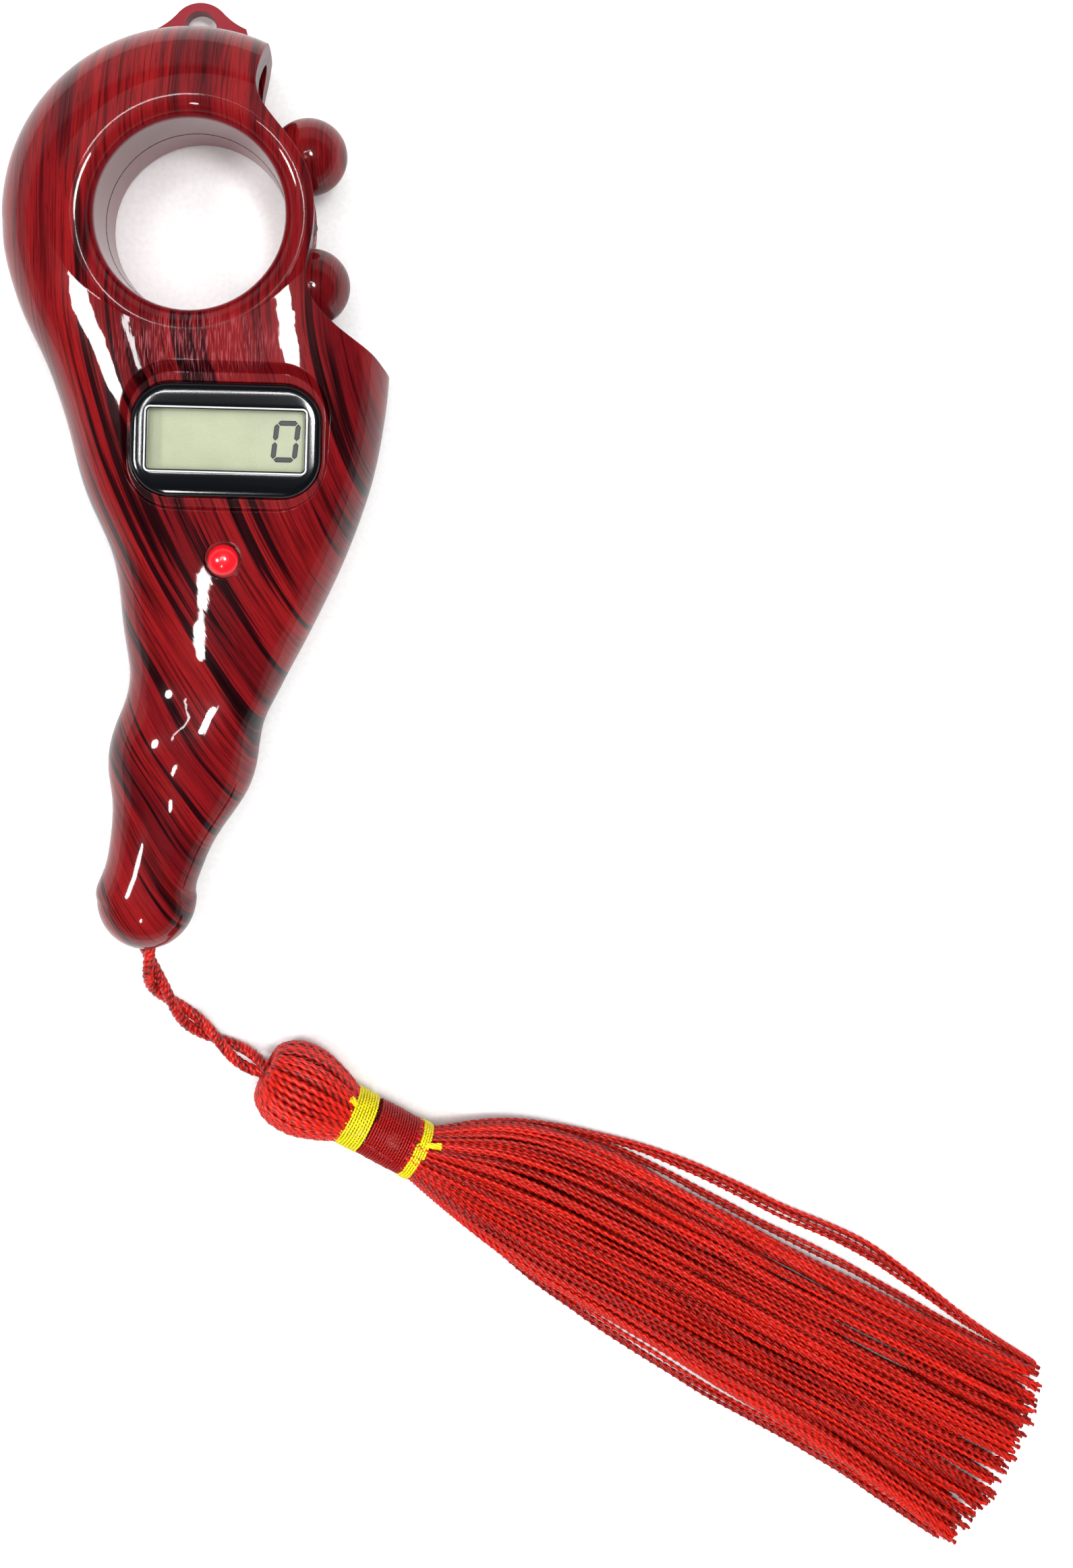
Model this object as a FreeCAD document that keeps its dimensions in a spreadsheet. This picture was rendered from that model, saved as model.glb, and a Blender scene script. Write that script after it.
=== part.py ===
"""Bead-flicking tally counter with a finger ring, a display, a cord and a tassel.

The counter lies on its back: +Z comes out of the display, +Y points from the tail to the lug, and
the origin is on the surface under the middle of the casing. Sizes are in millimetres.
"""

import FreeCAD, Part

import math
import os

from FreeCAD import Placement, Rotation, Vector

doc = FreeCAD.newDocument("BeadCounter")
Z_AXIS = Vector(0, 0, 1)
X_AXIS = Vector(1, 0, 0)
Y_AXIS = Vector(0, 1, 0)


# ---------------------------------------------------------------- driving dimensions

DIMENSIONS = [
    ("bore_x", 0.2, "finger bore centre"),
    ("bore_y", 28.3, "finger bore centre"),
    ("bore_radius", 10.5, "finger bore"),
    ("collar_radius", 11.92, "outside of the collar that the wheel turns on"),
    ("crest_radius", 12.9, "crest of the ring's front"),
    ("flange_radius", 13.65, "rim of the ring where the notch lays it bare"),
    ("seam_height", 9.5, "where the two shells meet"),
    ("casing_height", 22.0, "front of the head above the surface"),
    ("head_x", -0.3, "centre of the head's round outline"),
    ("head_y", 29.0, "centre of the head's round outline"),
    ("head_radius", 21.4, "round outline of the head"),
    ("knob_y", -49.2, "centre of the tail's end knob"),
    ("wall", 2.0, "casing wall"),
    ("bead_radius", 4.5, "bead"),
    ("bead_circle", 15.0, "bead centres from the bore's axis"),
    ("bead_count", 6, "beads on the wheel"),
    ("bead_phase", 31.2, "first bead's direction in degrees"),
    ("tunnel_radius", 5.0, "bead tunnel's section"),
    ("hub_inner", 12.0, "carrier's bearing bore"),
    ("hub_outer", 13.3, "carrier's outside"),
    ("hub_bottom", 3.2, "carrier's lower rim"),
    ("hub_height", 12.6, "carrier's length"),
    ("flange_depth", 3.0, "rear rim's thickness"),
    ("display_x", 4.2, "display centre"),
    ("display_y", 3.5, "display centre"),
    ("display_turn", -1.5, "display's turn in degrees"),
    ("lens_width", 20.9, "window"),
    ("lens_height", 12.6, "window"),
    ("lens_corner", 4.4, "window's corner radius"),
    ("lens_thickness", 1.9, "window"),
    ("lens_seat", 19.1, "height of the window's seat"),
    ("recess_floor", 20.1, "height of the floor round the window"),
    ("lcd_width", 19.2, "liquid crystal panel"),
    ("lcd_height", 10.2, "liquid crystal panel"),
    ("board_top", 14.4, "component side of the board"),
    ("board_thickness", 1.0, "board"),
    ("button_x", 3.8, "reset button"),
    ("button_y", -9.7, "reset button"),
    ("button_radius", 1.7, "reset button's cap"),
    ("button_hole", 2.1, "hole round the cap"),
    ("button_top", 20.0, "top of the cap at rest"),
    ("cell_radius", 5.8, "button cell"),
    ("cell_thickness", 3.1, "button cell"),
    ("cell_x", 5.6, "button cell centre"),
    ("cell_y", -2.2, "button cell centre"),
    ("door_width", 14.4, "battery door"),
    ("door_length", 17.6, "battery door"),
    ("door_thickness", 1.5, "battery door"),
    ("screw_core", 1.0, "self-tapping screw's shank radius"),
    ("screw_head", 1.8, "self-tapping screw's head radius"),
    ("lug_y", 52.15, "lanyard hole centre"),
    ("lug_hole", 1.88, "lanyard hole radius"),
    ("lug_radius", 3.6, "lug's round end"),
    ("lug_bottom", 2.0, "lug's lower face"),
    ("lug_thickness", 2.7, "lug"),
    ("cord_radius", 1.35, "twisted cord"),
    ("cord_hole", 1.75, "cord's exit in the tail"),
    ("tassel_turn", -28.0, "tassel's direction in degrees from +X"),
    ("bulb_x", 12.5, "tassel head centre"),
    ("bulb_y", -73.1, "tassel head centre"),
    ("bulb_radius", 5.1, "tassel head"),
    ("neck_core", 2.8, "bound threads inside the neck windings"),
    ("wrap_radius", 3.45, "neck windings"),
]

sheet = doc.addObject("Spreadsheet::Sheet", "Sizes")
for row, (alias, value, meaning) in enumerate(DIMENSIONS, start=1):
    sheet.set(f"A{row}", alias)
    sheet.set(f"B{row}", str(value))
    sheet.set(f"C{row}", meaning)
    sheet.setAlias(f"B{row}", alias)
doc.recompute()


def size(alias):
    """The value of one driving dimension."""
    return float(sheet.get(alias))


SEAM = size("seam_height")
WALL = size("wall")
BORE = Vector(size("bore_x"), size("bore_y"), 0)
DISPLAY = Vector(size("display_x"), size("display_y"), 0)


# ---------------------------------------------------------------- document helpers

def bind(item, **formulas):
    """Bind properties to formulas, in which a bare alias is written Sizes.alias."""
    for name, formula in formulas.items():
        item.setExpression(name, formula)
    return item


def put(item, x, y, z):
    """Place an object; each coordinate is a number or a formula."""
    for axis, value in (("x", x), ("y", y), ("z", z)):
        item.setExpression(f"Placement.Base.{axis}", str(value))
    return item


def cylinder(name, radius, height, x, y, z):
    item = doc.addObject("Part::Cylinder", name)
    return put(bind(item, Radius=str(radius), Height=str(height)), x, y, z)


def box(name, length, width, height, x, y, z):
    """A box centred on x and y and standing on z."""
    item = doc.addObject("Part::Box", name)
    bind(item, Length=str(length), Width=str(width), Height=str(height))
    return put(item, f"{x} - ({length}) / 2", f"{y} - ({width}) / 2", z)


def fuse(name, items):
    item = doc.addObject("Part::MultiFuse", name)
    item.Refine = False
    item.Shapes = items
    return item


def cut(name, base, tool):
    item = doc.addObject("Part::Cut", name)
    item.Refine = False
    item.Base = base
    item.Tool = tool
    return item


def common(name, base, tool):
    item = doc.addObject("Part::Common", name)
    item.Refine = False
    item.Base = base
    item.Tool = tool
    return item


def solid(name, shape):
    """A document object that holds a shape made with Part's own functions."""
    item = doc.addObject("Part::Feature", name)
    item.Shape = shape
    return item


def origin_plane(body, role):
    return next(f for f in body.Origin.OriginFeatures if f.Role == role)


def sketch_on(body, name, role, height="0"):
    """A sketch attached to one of the body's own origin planes."""
    sketch = body.newObject("Sketcher::SketchObject", name)
    sketch.AttachmentSupport = (origin_plane(body, role), [""])
    sketch.MapMode = "FlatFace"
    sketch.setExpression("AttachmentOffset.Base.z", height)
    return sketch


def closed_profile(sketch, points):
    """Add a closed chain of straight lines to a sketch."""
    for a, b in zip(points, points[1:] + points[:1]):
        sketch.addGeometry(Part.LineSegment(Vector(*a, 0), Vector(*b, 0)), False)


SUBPARTS = []


def subpart(item, label):
    """Give the object its own label, which names its STEP file."""
    item.Label = label
    SUBPARTS.append(item)
    return item


# ---------------------------------------------------------------- casing form

# Each list gives (y, value) from the head's centre line down to the tail knob's centre line.
LEFT_EDGE = [
    (29.0, -21.7), (25.0, -21.4), (21.0, -20.4), (17.0, -18.9), (12.0, -16.5), (6.0, -14.4),
    (-2.0, -12.3), (-10.0, -9.1), (-18.0, -8.1), (-24.5, -7.5), (-28.5, -8.9), (-33.0, -10.0),
    (-38.5, -9.5), (-44.0, -10.0), (-49.2, -11.3),
]
RIGHT_EDGE = [
    (29.0, 21.1), (25.0, 21.6), (18.0, 22.2), (11.0, 22.35), (4.5, 21.6), (-2.0, 20.2),
    (-10.0, 17.3), (-18.0, 13.5), (-25.0, 9.8), (-29.5, 7.7), (-33.0, 7.2), (-36.5, 6.2),
    (-41.0, 3.2), (-45.0, 1.0), (-49.2, 0.1),
]
FRONT_HEIGHT = [
    (29.0, 22.0), (10.0, 22.0), (0.0, 21.4), (-8.0, 19.9), (-16.0, 17.9), (-24.5, 16.1),
    (-31.0, 16.9), (-39.5, 15.1), (-49.2, 15.2),
]
BACK_HEIGHT = [
    (29.0, 0.0), (-12.0, 0.0), (-24.5, 1.7), (-32.0, 1.5), (-40.0, 3.3), (-49.2, 4.1),
]
# Squareness of the front's left and right corners: 2 is an ellipse, more is squarer.
LEFT_SQUARENESS = [(29.0, 3.4), (10.0, 3.6), (-16.0, 3.0), (-24.5, 2.4), (-49.2, 2.2)]
RIGHT_SQUARENESS = [
    (29.0, 3.4), (14.0, 3.4), (0.0, 3.4), (-16.0, 2.8), (-24.5, 2.4), (-49.2, 2.2),
]
BACK_SQUARENESS = [(29.0, 5.0), (-12.0, 4.5), (-24.5, 3.0), (-49.2, 2.2)]

SECTION_POINTS = 32
SECTION_STEPS = 27
BACK_ALLOWANCE = 1.0
FUSE_TOLERANCE = 0.001


def smooth(stations, y):
    """Cubic curve through the stations, level at both ends."""
    last = len(stations) - 1
    k = 0
    while k < last - 1 and y < stations[k + 1][0]:
        k += 1

    def slope(i):
        if i in (0, last):
            return 0.0
        (y0, v0), (y1, v1) = stations[i - 1], stations[i + 1]
        return (v1 - v0) / (y1 - y0)

    (ya, va), (yb, vb) = stations[k], stations[k + 1]
    span = yb - ya
    u = (y - ya) / span
    start = va + u * slope(k) * span
    rise = vb - va
    bend = u * u * (3 * rise - (2 * slope(k) + slope(k + 1)) * span)
    twist = u ** 3 * ((slope(k) + slope(k + 1)) * span - 2 * rise)
    return start + bend + twist


def casing_section(y, inset, allowance):
    """Closed curve round the casing at y, set in from the outside by inset."""
    left = smooth(LEFT_EDGE, y) + inset
    right = smooth(RIGHT_EDGE, y) - inset
    middle = (left + right) / 2
    half_width = (right - left) / 2
    rise = smooth(FRONT_HEIGHT, y) - inset - SEAM
    drop = SEAM - smooth(BACK_HEIGHT, y) - inset + allowance
    points = []
    for k in range(SECTION_POINTS):
        angle = 2 * math.pi * k / SECTION_POINTS - math.pi / 2
        across, up = round(math.cos(angle), 9), round(math.sin(angle), 9)
        if up < 0:
            power = smooth(BACK_SQUARENESS, y)
        elif across < 0:
            power = smooth(LEFT_SQUARENESS, y)
        else:
            power = smooth(RIGHT_SQUARENESS, y)
        x = middle + half_width * math.copysign(abs(across) ** (2 / power), across)
        reach = rise if up > 0 else drop
        z = SEAM + reach * math.copysign(abs(up) ** (2 / power), up)
        points.append(Vector(x, y, z))
    curve = Part.BSplineCurve()
    parameters = [k / SECTION_POINTS for k in range(SECTION_POINTS + 1)]
    curve.interpolate(Points=points, PeriodicFlag=True, Parameters=parameters)
    return curve


def casing_end(y, inset, allowance, turn):
    """Half-round end: the right half of the section at y, turned about its middle line."""
    curve = casing_section(y, inset, allowance)
    half = curve.toShape(0.0, 0.5)
    bottom, top = curve.value(0.0), curve.value(0.5)
    face = Part.Face(Part.Wire([half, Part.makeLine(top, bottom)]))
    return face.revolve(bottom, Z_AXIS, turn)


def casing_form(inset, allowance=0.0):
    """Whole outside form of the casing, or the form of its hollow when set in."""
    head, knob = size("head_y"), size("knob_y")
    step = (knob - head) / SECTION_STEPS
    stations = [head + k * step for k in range(SECTION_STEPS + 1)]
    wires = [Part.Wire([casing_section(y, inset, allowance).toShape()]) for y in stations]
    trunk = Part.makeLoft(wires, True, False)
    ends = [casing_end(head, inset, allowance, 180), casing_end(knob, inset, allowance, -180)]
    form = trunk.fuse(ends, FUSE_TOLERANCE)
    if allowance:
        floor = Part.makeBox(100, 160, 60, Vector(-50, -80, 0))
        form = form.common(floor)
    return form


def curve_edge(points, start, end):
    """Curve through flat points, with the given directions at its ends."""
    curve = Part.BSplineCurve()
    flat = [Vector(x, y, 0) for x, y in points]
    curve.interpolate(Points=flat, InitialTangent=Vector(*start, 0), FinalTangent=Vector(*end, 0))
    return curve.toShape()


def notch_form(grow):
    """Prism of the open notch where the beads show, grown into the casing by grow."""
    edge = [
        (9.9 - grow, 51.5), (8.0 - grow, 45.9), (7.5 - grow, 42.4), (10.0 - grow, 38.0),
        (13.4 - grow, 32.4), (13.85 - grow, 28.3), (13.35 - grow, 24.4), (12.9 - grow, 21.4),
        (16.0 - grow, 16.3 - grow), (20.0 - grow, 13.2 - grow), (24.0, 8.6 - grow),
    ]
    curve = curve_edge(edge, (-0.6, -1.0), (1.0, -1.1))
    far = 40.0
    last = Vector(*edge[-1], 0)
    first = Vector(*edge[0], 0)
    corners = [last, Vector(far, last.y, 0), Vector(far, first.y, 0), first]
    lines = [Part.makeLine(a, b) for a, b in zip(corners, corners[1:])]
    face = Part.Face(Part.Wire([curve] + lines))
    return face.extrude(Vector(0, 0, 40)).translated(Vector(0, 0, -5))


def ring_form(points):
    """Solid of revolution about the bore's axis; points are (radius, height)."""
    corners = [Vector(BORE.x + r, BORE.y, z) for r, z in points]
    face = Part.Face(Part.makePolygon(corners + corners[:1]))
    return face.revolve(BORE, Z_AXIS, 360)


def wheel_space():
    """Room that the carrier and its beads sweep as they turn, outside the collar."""
    inner, outer = size("collar_radius"), size("flange_radius") + 0.6
    tunnel = Part.makeTorus(size("bead_circle"), size("tunnel_radius"), BORE + Z_AXIS * SEAM)
    tunnel = tunnel.cut(Part.makeCylinder((inner + outer) / 2, 40, BORE))
    low = size("flange_depth")
    high = low + size("hub_height") + 0.4
    slot = ring_form([(inner, low), (outer, low), (outer, high), (inner, high)])
    return tunnel.fuse(slot)


def bore_cutter():
    """Finger bore with a rounded rim at the front and a small one at the back."""
    r = size("bore_radius")
    top = size("casing_height")
    flare, step = 2.2, 1.2
    arc_front = Part.Arc(
        Vector(BORE.x + r, BORE.y, top - flare),
        Vector(BORE.x + r + flare * (1 - math.sqrt(0.5)), BORE.y, top - flare * (1 - math.sqrt(0.5))),
        Vector(BORE.x + r + flare, BORE.y, top),
    )
    arc_back = Part.Arc(
        Vector(BORE.x + r + step, BORE.y, 0),
        Vector(BORE.x + r + step * (1 - math.sqrt(0.5)), BORE.y, step * (1 - math.sqrt(0.5))),
        Vector(BORE.x + r, BORE.y, step),
    )
    over = 1.0
    corners = [
        Vector(BORE.x + r + flare, BORE.y, top), Vector(BORE.x + r + flare, BORE.y, top + over),
        Vector(BORE.x, BORE.y, top + over), Vector(BORE.x, BORE.y, -over),
        Vector(BORE.x + r + step, BORE.y, -over), Vector(BORE.x + r + step, BORE.y, 0),
    ]
    lines = [Part.makeLine(a, b) for a, b in zip(corners, corners[1:])]
    wall = Part.makeLine(arc_back.toShape().Vertexes[-1].Point, arc_front.toShape().Vertexes[0].Point)
    wire = Part.Wire(Part.sortEdges(lines + [arc_back.toShape(), wall, arc_front.toShape()])[0])
    return Part.Face(wire).revolve(BORE, Z_AXIS, 360)


def pill(width, height, corner, low, high, growth=0.0):
    """Rounded rectangle prism at the display; growth widens it towards the top."""
    def outline(extra, z):
        w, h, r = width / 2 + extra, height / 2 + extra, corner + extra
        diag = r * (1 - math.sqrt(0.5))
        edges = []
        for sx, sy in ((1, 1), (-1, 1), (-1, -1), (1, -1)):
            ends = [Vector(sx * w, sy * (h - r), z), Vector(sx * (w - r), sy * h, z)]
            middle = Vector(sx * (w - diag), sy * (h - diag), z)
            edges.append(Part.Arc(ends[0], middle, ends[1]).toShape())
        edges.append(Part.makeLine(Vector(w - r, h, z), Vector(r - w, h, z)))
        edges.append(Part.makeLine(Vector(-w, h - r, z), Vector(-w, r - h, z)))
        edges.append(Part.makeLine(Vector(r - w, -h, z), Vector(w - r, -h, z)))
        edges.append(Part.makeLine(Vector(w, r - h, z), Vector(w, h - r, z)))
        return Part.Wire(Part.sortEdges(edges)[0])

    form = Part.makeLoft([outline(0, low), outline(growth, high)], True, True)
    return turned_to_display(form)


def turned_to_display(form):
    form = form.copy()
    form.rotate(Vector(), Z_AXIS, size("display_turn"))
    form.translate(DISPLAY)
    return form


# ---------------------------------------------------------------- casing shells

SCREW_PLACES = [(-10.9, 5.6), (17.0, 4.8), (0.6, -21.5), (-2.4, -36.5)]
BOSS_RADIUS = 2.5

outer_form = solid("OuterForm", casing_form(0.0, BACK_ALLOWANCE))
hollow_form = solid("HollowForm", casing_form(WALL).cut(notch_form(1.5)))
wheel_room = solid("WheelRoom", wheel_space())
bore_room = solid("BoreRoom", bore_cutter())
notch_room = solid("NotchRoom", notch_form(0.0))
cord_room = solid(
    "CordRoom",
    Part.makeCylinder(size("cord_hole"), 12, Vector(-5.75, -48.0, SEAM - 0.3), -Y_AXIS),
)


def cut_each(name, base, tools):
    """Take the tools away one after another."""
    for k, tool in enumerate(tools):
        base = cut(f"{name}{k}", base, tool)
    return base


def shell(name, half, extras, kept, tools):
    """One half of the casing: its outside, less the hollow round what is kept, less the tools."""
    outside = common(f"{name}Outside", outer_form, half)
    if extras:
        outside = fuse(f"{name}Fused", [outside] + extras)
    hollow = cut_each(f"{name}Hollow", common(f"{name}Inside", hollow_form, half), kept)
    return cut_each(f"{name}Shell", outside, [hollow] + tools)


def ring_disc(name, radius, low, height=40):
    """Disc round the bore's axis, which the bore is cut from later."""
    return cylinder(name, radius, height, "Sizes.bore_x", "Sizes.bore_y", low)


def boss(name, x, y):
    """Screw boss that reaches from one wall through the hollow to the other."""
    return cylinder(name, BOSS_RADIUS, 40, x, y, -5)


def ring_crest():
    """Cone round the bore that brings the ring's crest to the same height all round."""
    crest = doc.addObject("Part::Cone", "RingCrest")
    low = "Sizes.casing_height - 2"
    bind(crest, Radius1="Sizes.crest_radius + 4.2", Radius2="Sizes.crest_radius", Height="2")
    return put(crest, "Sizes.bore_x", "Sizes.bore_y", low)


def build_front_shell():
    half = box("FrontHalf", 120, 160, 40, 0, 0, "Sizes.seam_height")
    shelf = "Sizes.flange_depth + Sizes.hub_height + 0.4"
    kept = [
        ring_disc("FrontCollar", "Sizes.collar_radius", -5),
        ring_disc("FrontFlange", "Sizes.flange_radius + 1.3", shelf),
    ]
    kept.append(solid("DisplayFrame", pill(23.8, 15.6, 4.6, 17.6, 25)))
    kept += [boss(f"FrontBoss{k}", x, y) for k, (x, y) in enumerate(SCREW_PLACES)]
    pilots = [
        cylinder(f"FrontPilot{k}", "Sizes.screw_core + 0.02", 4.6, x, y, SEAM - 0.2)
        for k, (x, y) in enumerate(SCREW_PLACES)
    ]
    lens = (size("lens_width") + 0.2, size("lens_height") + 0.2, size("lens_corner") + 0.1)
    rooms = [
        solid("LensRoom", pill(*lens, size("lens_seat"), 30)),
        solid("DisplayRecess", pill(21.7, 14.8, 5.0, size("recess_floor"), 22.6, 1.6)),
        solid("WindowRoom", pill(17.8, 9.4, 0.6, 17.0, 25)),
        solid("PanelRoom", pill(19.5, 10.5, 0.3, 17.0, size("lens_seat") - 0.35)),
        cylinder("ButtonRoom", "Sizes.button_hole", 14, "Sizes.button_x", "Sizes.button_y", 12),
    ]
    tools = pilots + rooms + [wheel_room, bore_room, notch_room, cord_room]
    return subpart(shell("Front", half, [ring_crest()], kept, tools), "front_shell")


def lug_form():
    """Flat lug with a flared foot that runs into the head's rim."""
    x, z = size("bore_x"), size("lug_bottom")
    r, y = size("lug_radius"), size("lug_y") - 0.7
    side, shoulder, foot = (2.84, y + 2.21), (5.4, y + 0.45), 6.2
    base = size("head_y") + size("head_radius") - 2.4

    def at(across, along):
        return Vector(x + across, along, z)

    top = Part.Arc(at(-side[0], side[1]), at(0, y + r), at(*side)).toShape()
    edges = [top, Part.makeLine(at(foot, base), at(-foot, base))]
    for way in (-1, 1):
        ends = at(way * side[0], side[1]), at(way * shoulder[0], shoulder[1])
        edges.append(Part.Arc(ends[0], at(way * 3.9, y + 1.3), ends[1]).toShape())
        edges.append(Part.makeLine(ends[1], at(way * foot, base)))
    wire = Part.Wire(Part.sortEdges(edges)[0])
    return Part.Face(wire).extrude(Vector(0, 0, size("lug_thickness")))


def build_rear_shell():
    half = box("RearHalf", 120, 160, "Sizes.seam_height + 10", 0, 0, -10)
    cell_x, cell_y = "Sizes.cell_x", "Sizes.cell_y"
    kept = [
        ring_disc("RearCollar", "Sizes.collar_radius", -5),
        ring_disc("RearFlange", "Sizes.flange_radius + 1.3", "Sizes.flange_depth - 20", 20),
        cylinder("CellWall", "Sizes.cell_radius + 1.3", 9, cell_x, cell_y, -3),
        box("DoorSeat", "Sizes.door_width + 3", "Sizes.door_length + 3", 5.6, cell_x,
            "Sizes.cell_y - 1.2", -3),
        cylinder("DoorPost", 2.2, 9.5, cell_x, "Sizes.cell_y - 8.4", -3),
    ]
    kept += [
        box(f"SpringPost{k}", 1.6, 1.4, 7.5, 0.2 + side * 6.6, 13.0, -3)
        for k, side in enumerate((-1, 1))
    ]
    kept += [boss(f"RearBoss{k}", x, y) for k, (x, y) in enumerate(SCREW_PLACES)]
    shanks = [
        cylinder(f"RearShankHole{k}", "Sizes.screw_core + 0.15", 12, x, y, 0)
        for k, (x, y) in enumerate(SCREW_PLACES)
    ]
    heads = [
        cylinder(f"RearHeadHole{k}", "Sizes.screw_head + 0.2", smooth(BACK_HEIGHT, y) + 3.0, x, y, -1)
        for k, (x, y) in enumerate(SCREW_PLACES)
    ]
    rooms = [
        cylinder("CellRoom", "Sizes.cell_radius + 0.2", 8, cell_x, cell_y, 1.2),
        box("DoorRoom", "Sizes.door_width + 0.3", "Sizes.door_length + 0.3",
            "Sizes.door_thickness + 1.1", cell_x, "Sizes.cell_y - 1.2", -1),
        cylinder("DoorPilot", 0.82, 4.5, cell_x, "Sizes.cell_y - 8.4", 1.0),
        cylinder("LanyardHole", "Sizes.lug_hole", "Sizes.lug_bottom + Sizes.lug_thickness + 0.05",
                 "Sizes.bore_x", "Sizes.lug_y", 0),
    ]
    tools = shanks + heads + rooms + [wheel_room, bore_room, notch_room, cord_room]
    lug = solid("Lug", lug_form())
    return subpart(shell("Rear", half, [lug], kept, tools), "rear_shell")


# ---------------------------------------------------------------- bead wheel

LOBE_HEIGHT = 0.5


def build_carrier():
    """Ring on the collar, with a peg for each bead and click lobes on its lower rim."""
    body = doc.addObject("PartDesign::Body", "BeadCarrier")
    profile = sketch_on(body, "CarrierProfile", "XZ_Plane")
    inner, outer = size("hub_inner"), size("hub_outer")
    low, tall = size("hub_bottom"), size("hub_height")
    closed_profile(profile, [(inner, low), (outer, low), (outer, low + tall), (inner, low + tall)])
    ring = body.newObject("PartDesign::Revolution", "CarrierRing")
    ring.Profile = profile
    ring.ReferenceAxis = (profile, ["V_Axis"])
    ring.Angle = 360
    doc.recompute()

    lobe_sketch = sketch_on(body, "LobeSketch", "XY_Plane", "Sizes.hub_bottom")
    between = math.pi / size("bead_count")
    lobe_radius = 0.75
    reach = outer + LOBE_HEIGHT - lobe_radius
    place = Vector(reach * math.cos(between), reach * math.sin(between), 0)
    lobe_sketch.addGeometry(Part.Circle(place, Z_AXIS, lobe_radius), False)
    lobe = body.newObject("PartDesign::Pad", "ClickLobe")
    lobe.Profile = lobe_sketch
    lobe.Length = 1.2
    doc.recompute()

    peg_sketch = sketch_on(body, "PegSketch", "YZ_Plane", "Sizes.hub_outer - 0.6")
    peg_sketch.addGeometry(Part.Circle(Vector(0, SEAM, 0), Z_AXIS, 0.9), False)
    peg = body.newObject("PartDesign::Pad", "BeadPeg")
    peg.Profile = peg_sketch
    peg.setExpression("Length", "Sizes.bead_circle - Sizes.hub_outer + 0.6")
    doc.recompute()

    pattern = body.newObject("PartDesign::PolarPattern", "SixTimes")
    pattern.Originals = [lobe, peg]
    pattern.Axis = (origin_plane(body, "Z_Axis"), [""])
    pattern.Angle = 360
    pattern.setExpression("Occurrences", "Sizes.bead_count")
    body.Tip = pattern
    doc.recompute()
    assert body.Shape.Volume > ring.Shape.Volume + 1, "the pegs and lobes add nothing"
    put(body, "Sizes.bore_x", "Sizes.bore_y", 0)
    body.setExpression("Placement.Rotation.Angle", "Sizes.bead_phase")
    return subpart(body, "bead_carrier")


def build_bead(number):
    """One bead, hollowed where it sits on the carrier and drilled for its peg."""
    turn = size("bead_phase") + 360 / size("bead_count") * (number - 1)
    ball = doc.addObject("Part::Sphere", f"Ball{number}")
    bind(ball, Radius="Sizes.bead_radius")
    put(ball, "Sizes.bead_circle", 0, "Sizes.seam_height")
    seat = cylinder(f"Seat{number}", "Sizes.hub_outer + 0.05", 20, 0, 0, 0)
    drill = cylinder(f"Drill{number}", 0.95, "Sizes.bead_circle + 0.1", 0, 0, "Sizes.seam_height")
    drill.Placement.Rotation = Rotation(Y_AXIS, 90)
    bead = cut(f"Bead{number}", ball, fuse(f"BeadTools{number}", [seat, drill]))
    bead.Placement = Placement(BORE, Rotation(Z_AXIS, turn))
    return subpart(bead, f"bead_{number}")


def build_click_spring():
    """Leaf that reaches across the carrier's lower rim between its two posts."""
    gap, thick, tall = 0.12, 0.2, 1.1
    y = size("bore_y") - size("hub_outer") - gap - thick
    x = size("bore_x")
    reach, post = 6.0, 7.4
    dip = 0.35
    outline = [
        (x - post, y - 0.75), (x - reach, y - 0.75), (x - 2.0, y - dip), (x, y), (x + 2.0, y - dip),
        (x + reach, y - 0.75), (x + post, y - 0.75),
    ]
    back = [(px, py - thick) for px, py in reversed(outline)]
    corners = [Vector(px, py, size("hub_bottom") + 0.1) for px, py in outline + back]
    leaf = Part.Face(Part.makePolygon(corners + corners[:1])).extrude(Vector(0, 0, tall))
    return subpart(solid("ClickSpring", leaf), "click_spring")


# ---------------------------------------------------------------- display and board

def at_display(item, z):
    """Place an object at the display's centre and turn."""
    put(item, "Sizes.display_x", "Sizes.display_y", z)
    item.setExpression("Placement.Rotation.Angle", "Sizes.display_turn")
    return item


def rounded_rectangle(sketch, width, height, corner):
    """Rectangle with round corners, centred on the sketch's origin."""
    w, h = width / 2, height / 2
    for turn, (sx, sy) in enumerate(((1, 1), (-1, 1), (-1, -1), (1, -1))):
        centre = Vector(sx * (w - corner), sy * (h - corner), 0)
        circle = Part.Circle(centre, Z_AXIS, corner)
        start = turn * math.pi / 2
        sketch.addGeometry(Part.ArcOfCircle(circle, start, start + math.pi / 2), False)
    sides = [
        ((w - corner, h), (corner - w, h)), ((-w, h - corner), (-w, corner - h)),
        ((corner - w, -h), (w - corner, -h)), ((w, corner - h), (w, h - corner)),
    ]
    for a, b in sides:
        sketch.addGeometry(Part.LineSegment(Vector(*a, 0), Vector(*b, 0)), False)


def build_lens():
    """Window with a rounded front edge."""
    body = doc.addObject("PartDesign::Body", "DisplayLens")
    outline = sketch_on(body, "LensOutline", "XY_Plane")
    rounded_rectangle(outline, size("lens_width"), size("lens_height"), size("lens_corner"))
    plate = body.newObject("PartDesign::Pad", "LensPlate")
    plate.Profile = outline
    plate.setExpression("Length", "Sizes.lens_thickness")
    doc.recompute()
    top = size("lens_thickness")
    rim = [f"Edge{k}" for k, e in enumerate(plate.Shape.Edges, 1) if e.BoundBox.ZMin > top - 0.01]
    edge = body.newObject("PartDesign::Fillet", "LensEdge")
    edge.Base = (plate, rim)
    edge.Radius = 0.9
    body.Tip = edge
    doc.recompute()
    return subpart(at_display(body, "Sizes.lens_seat + 0.02"), "display_lens")


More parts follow.
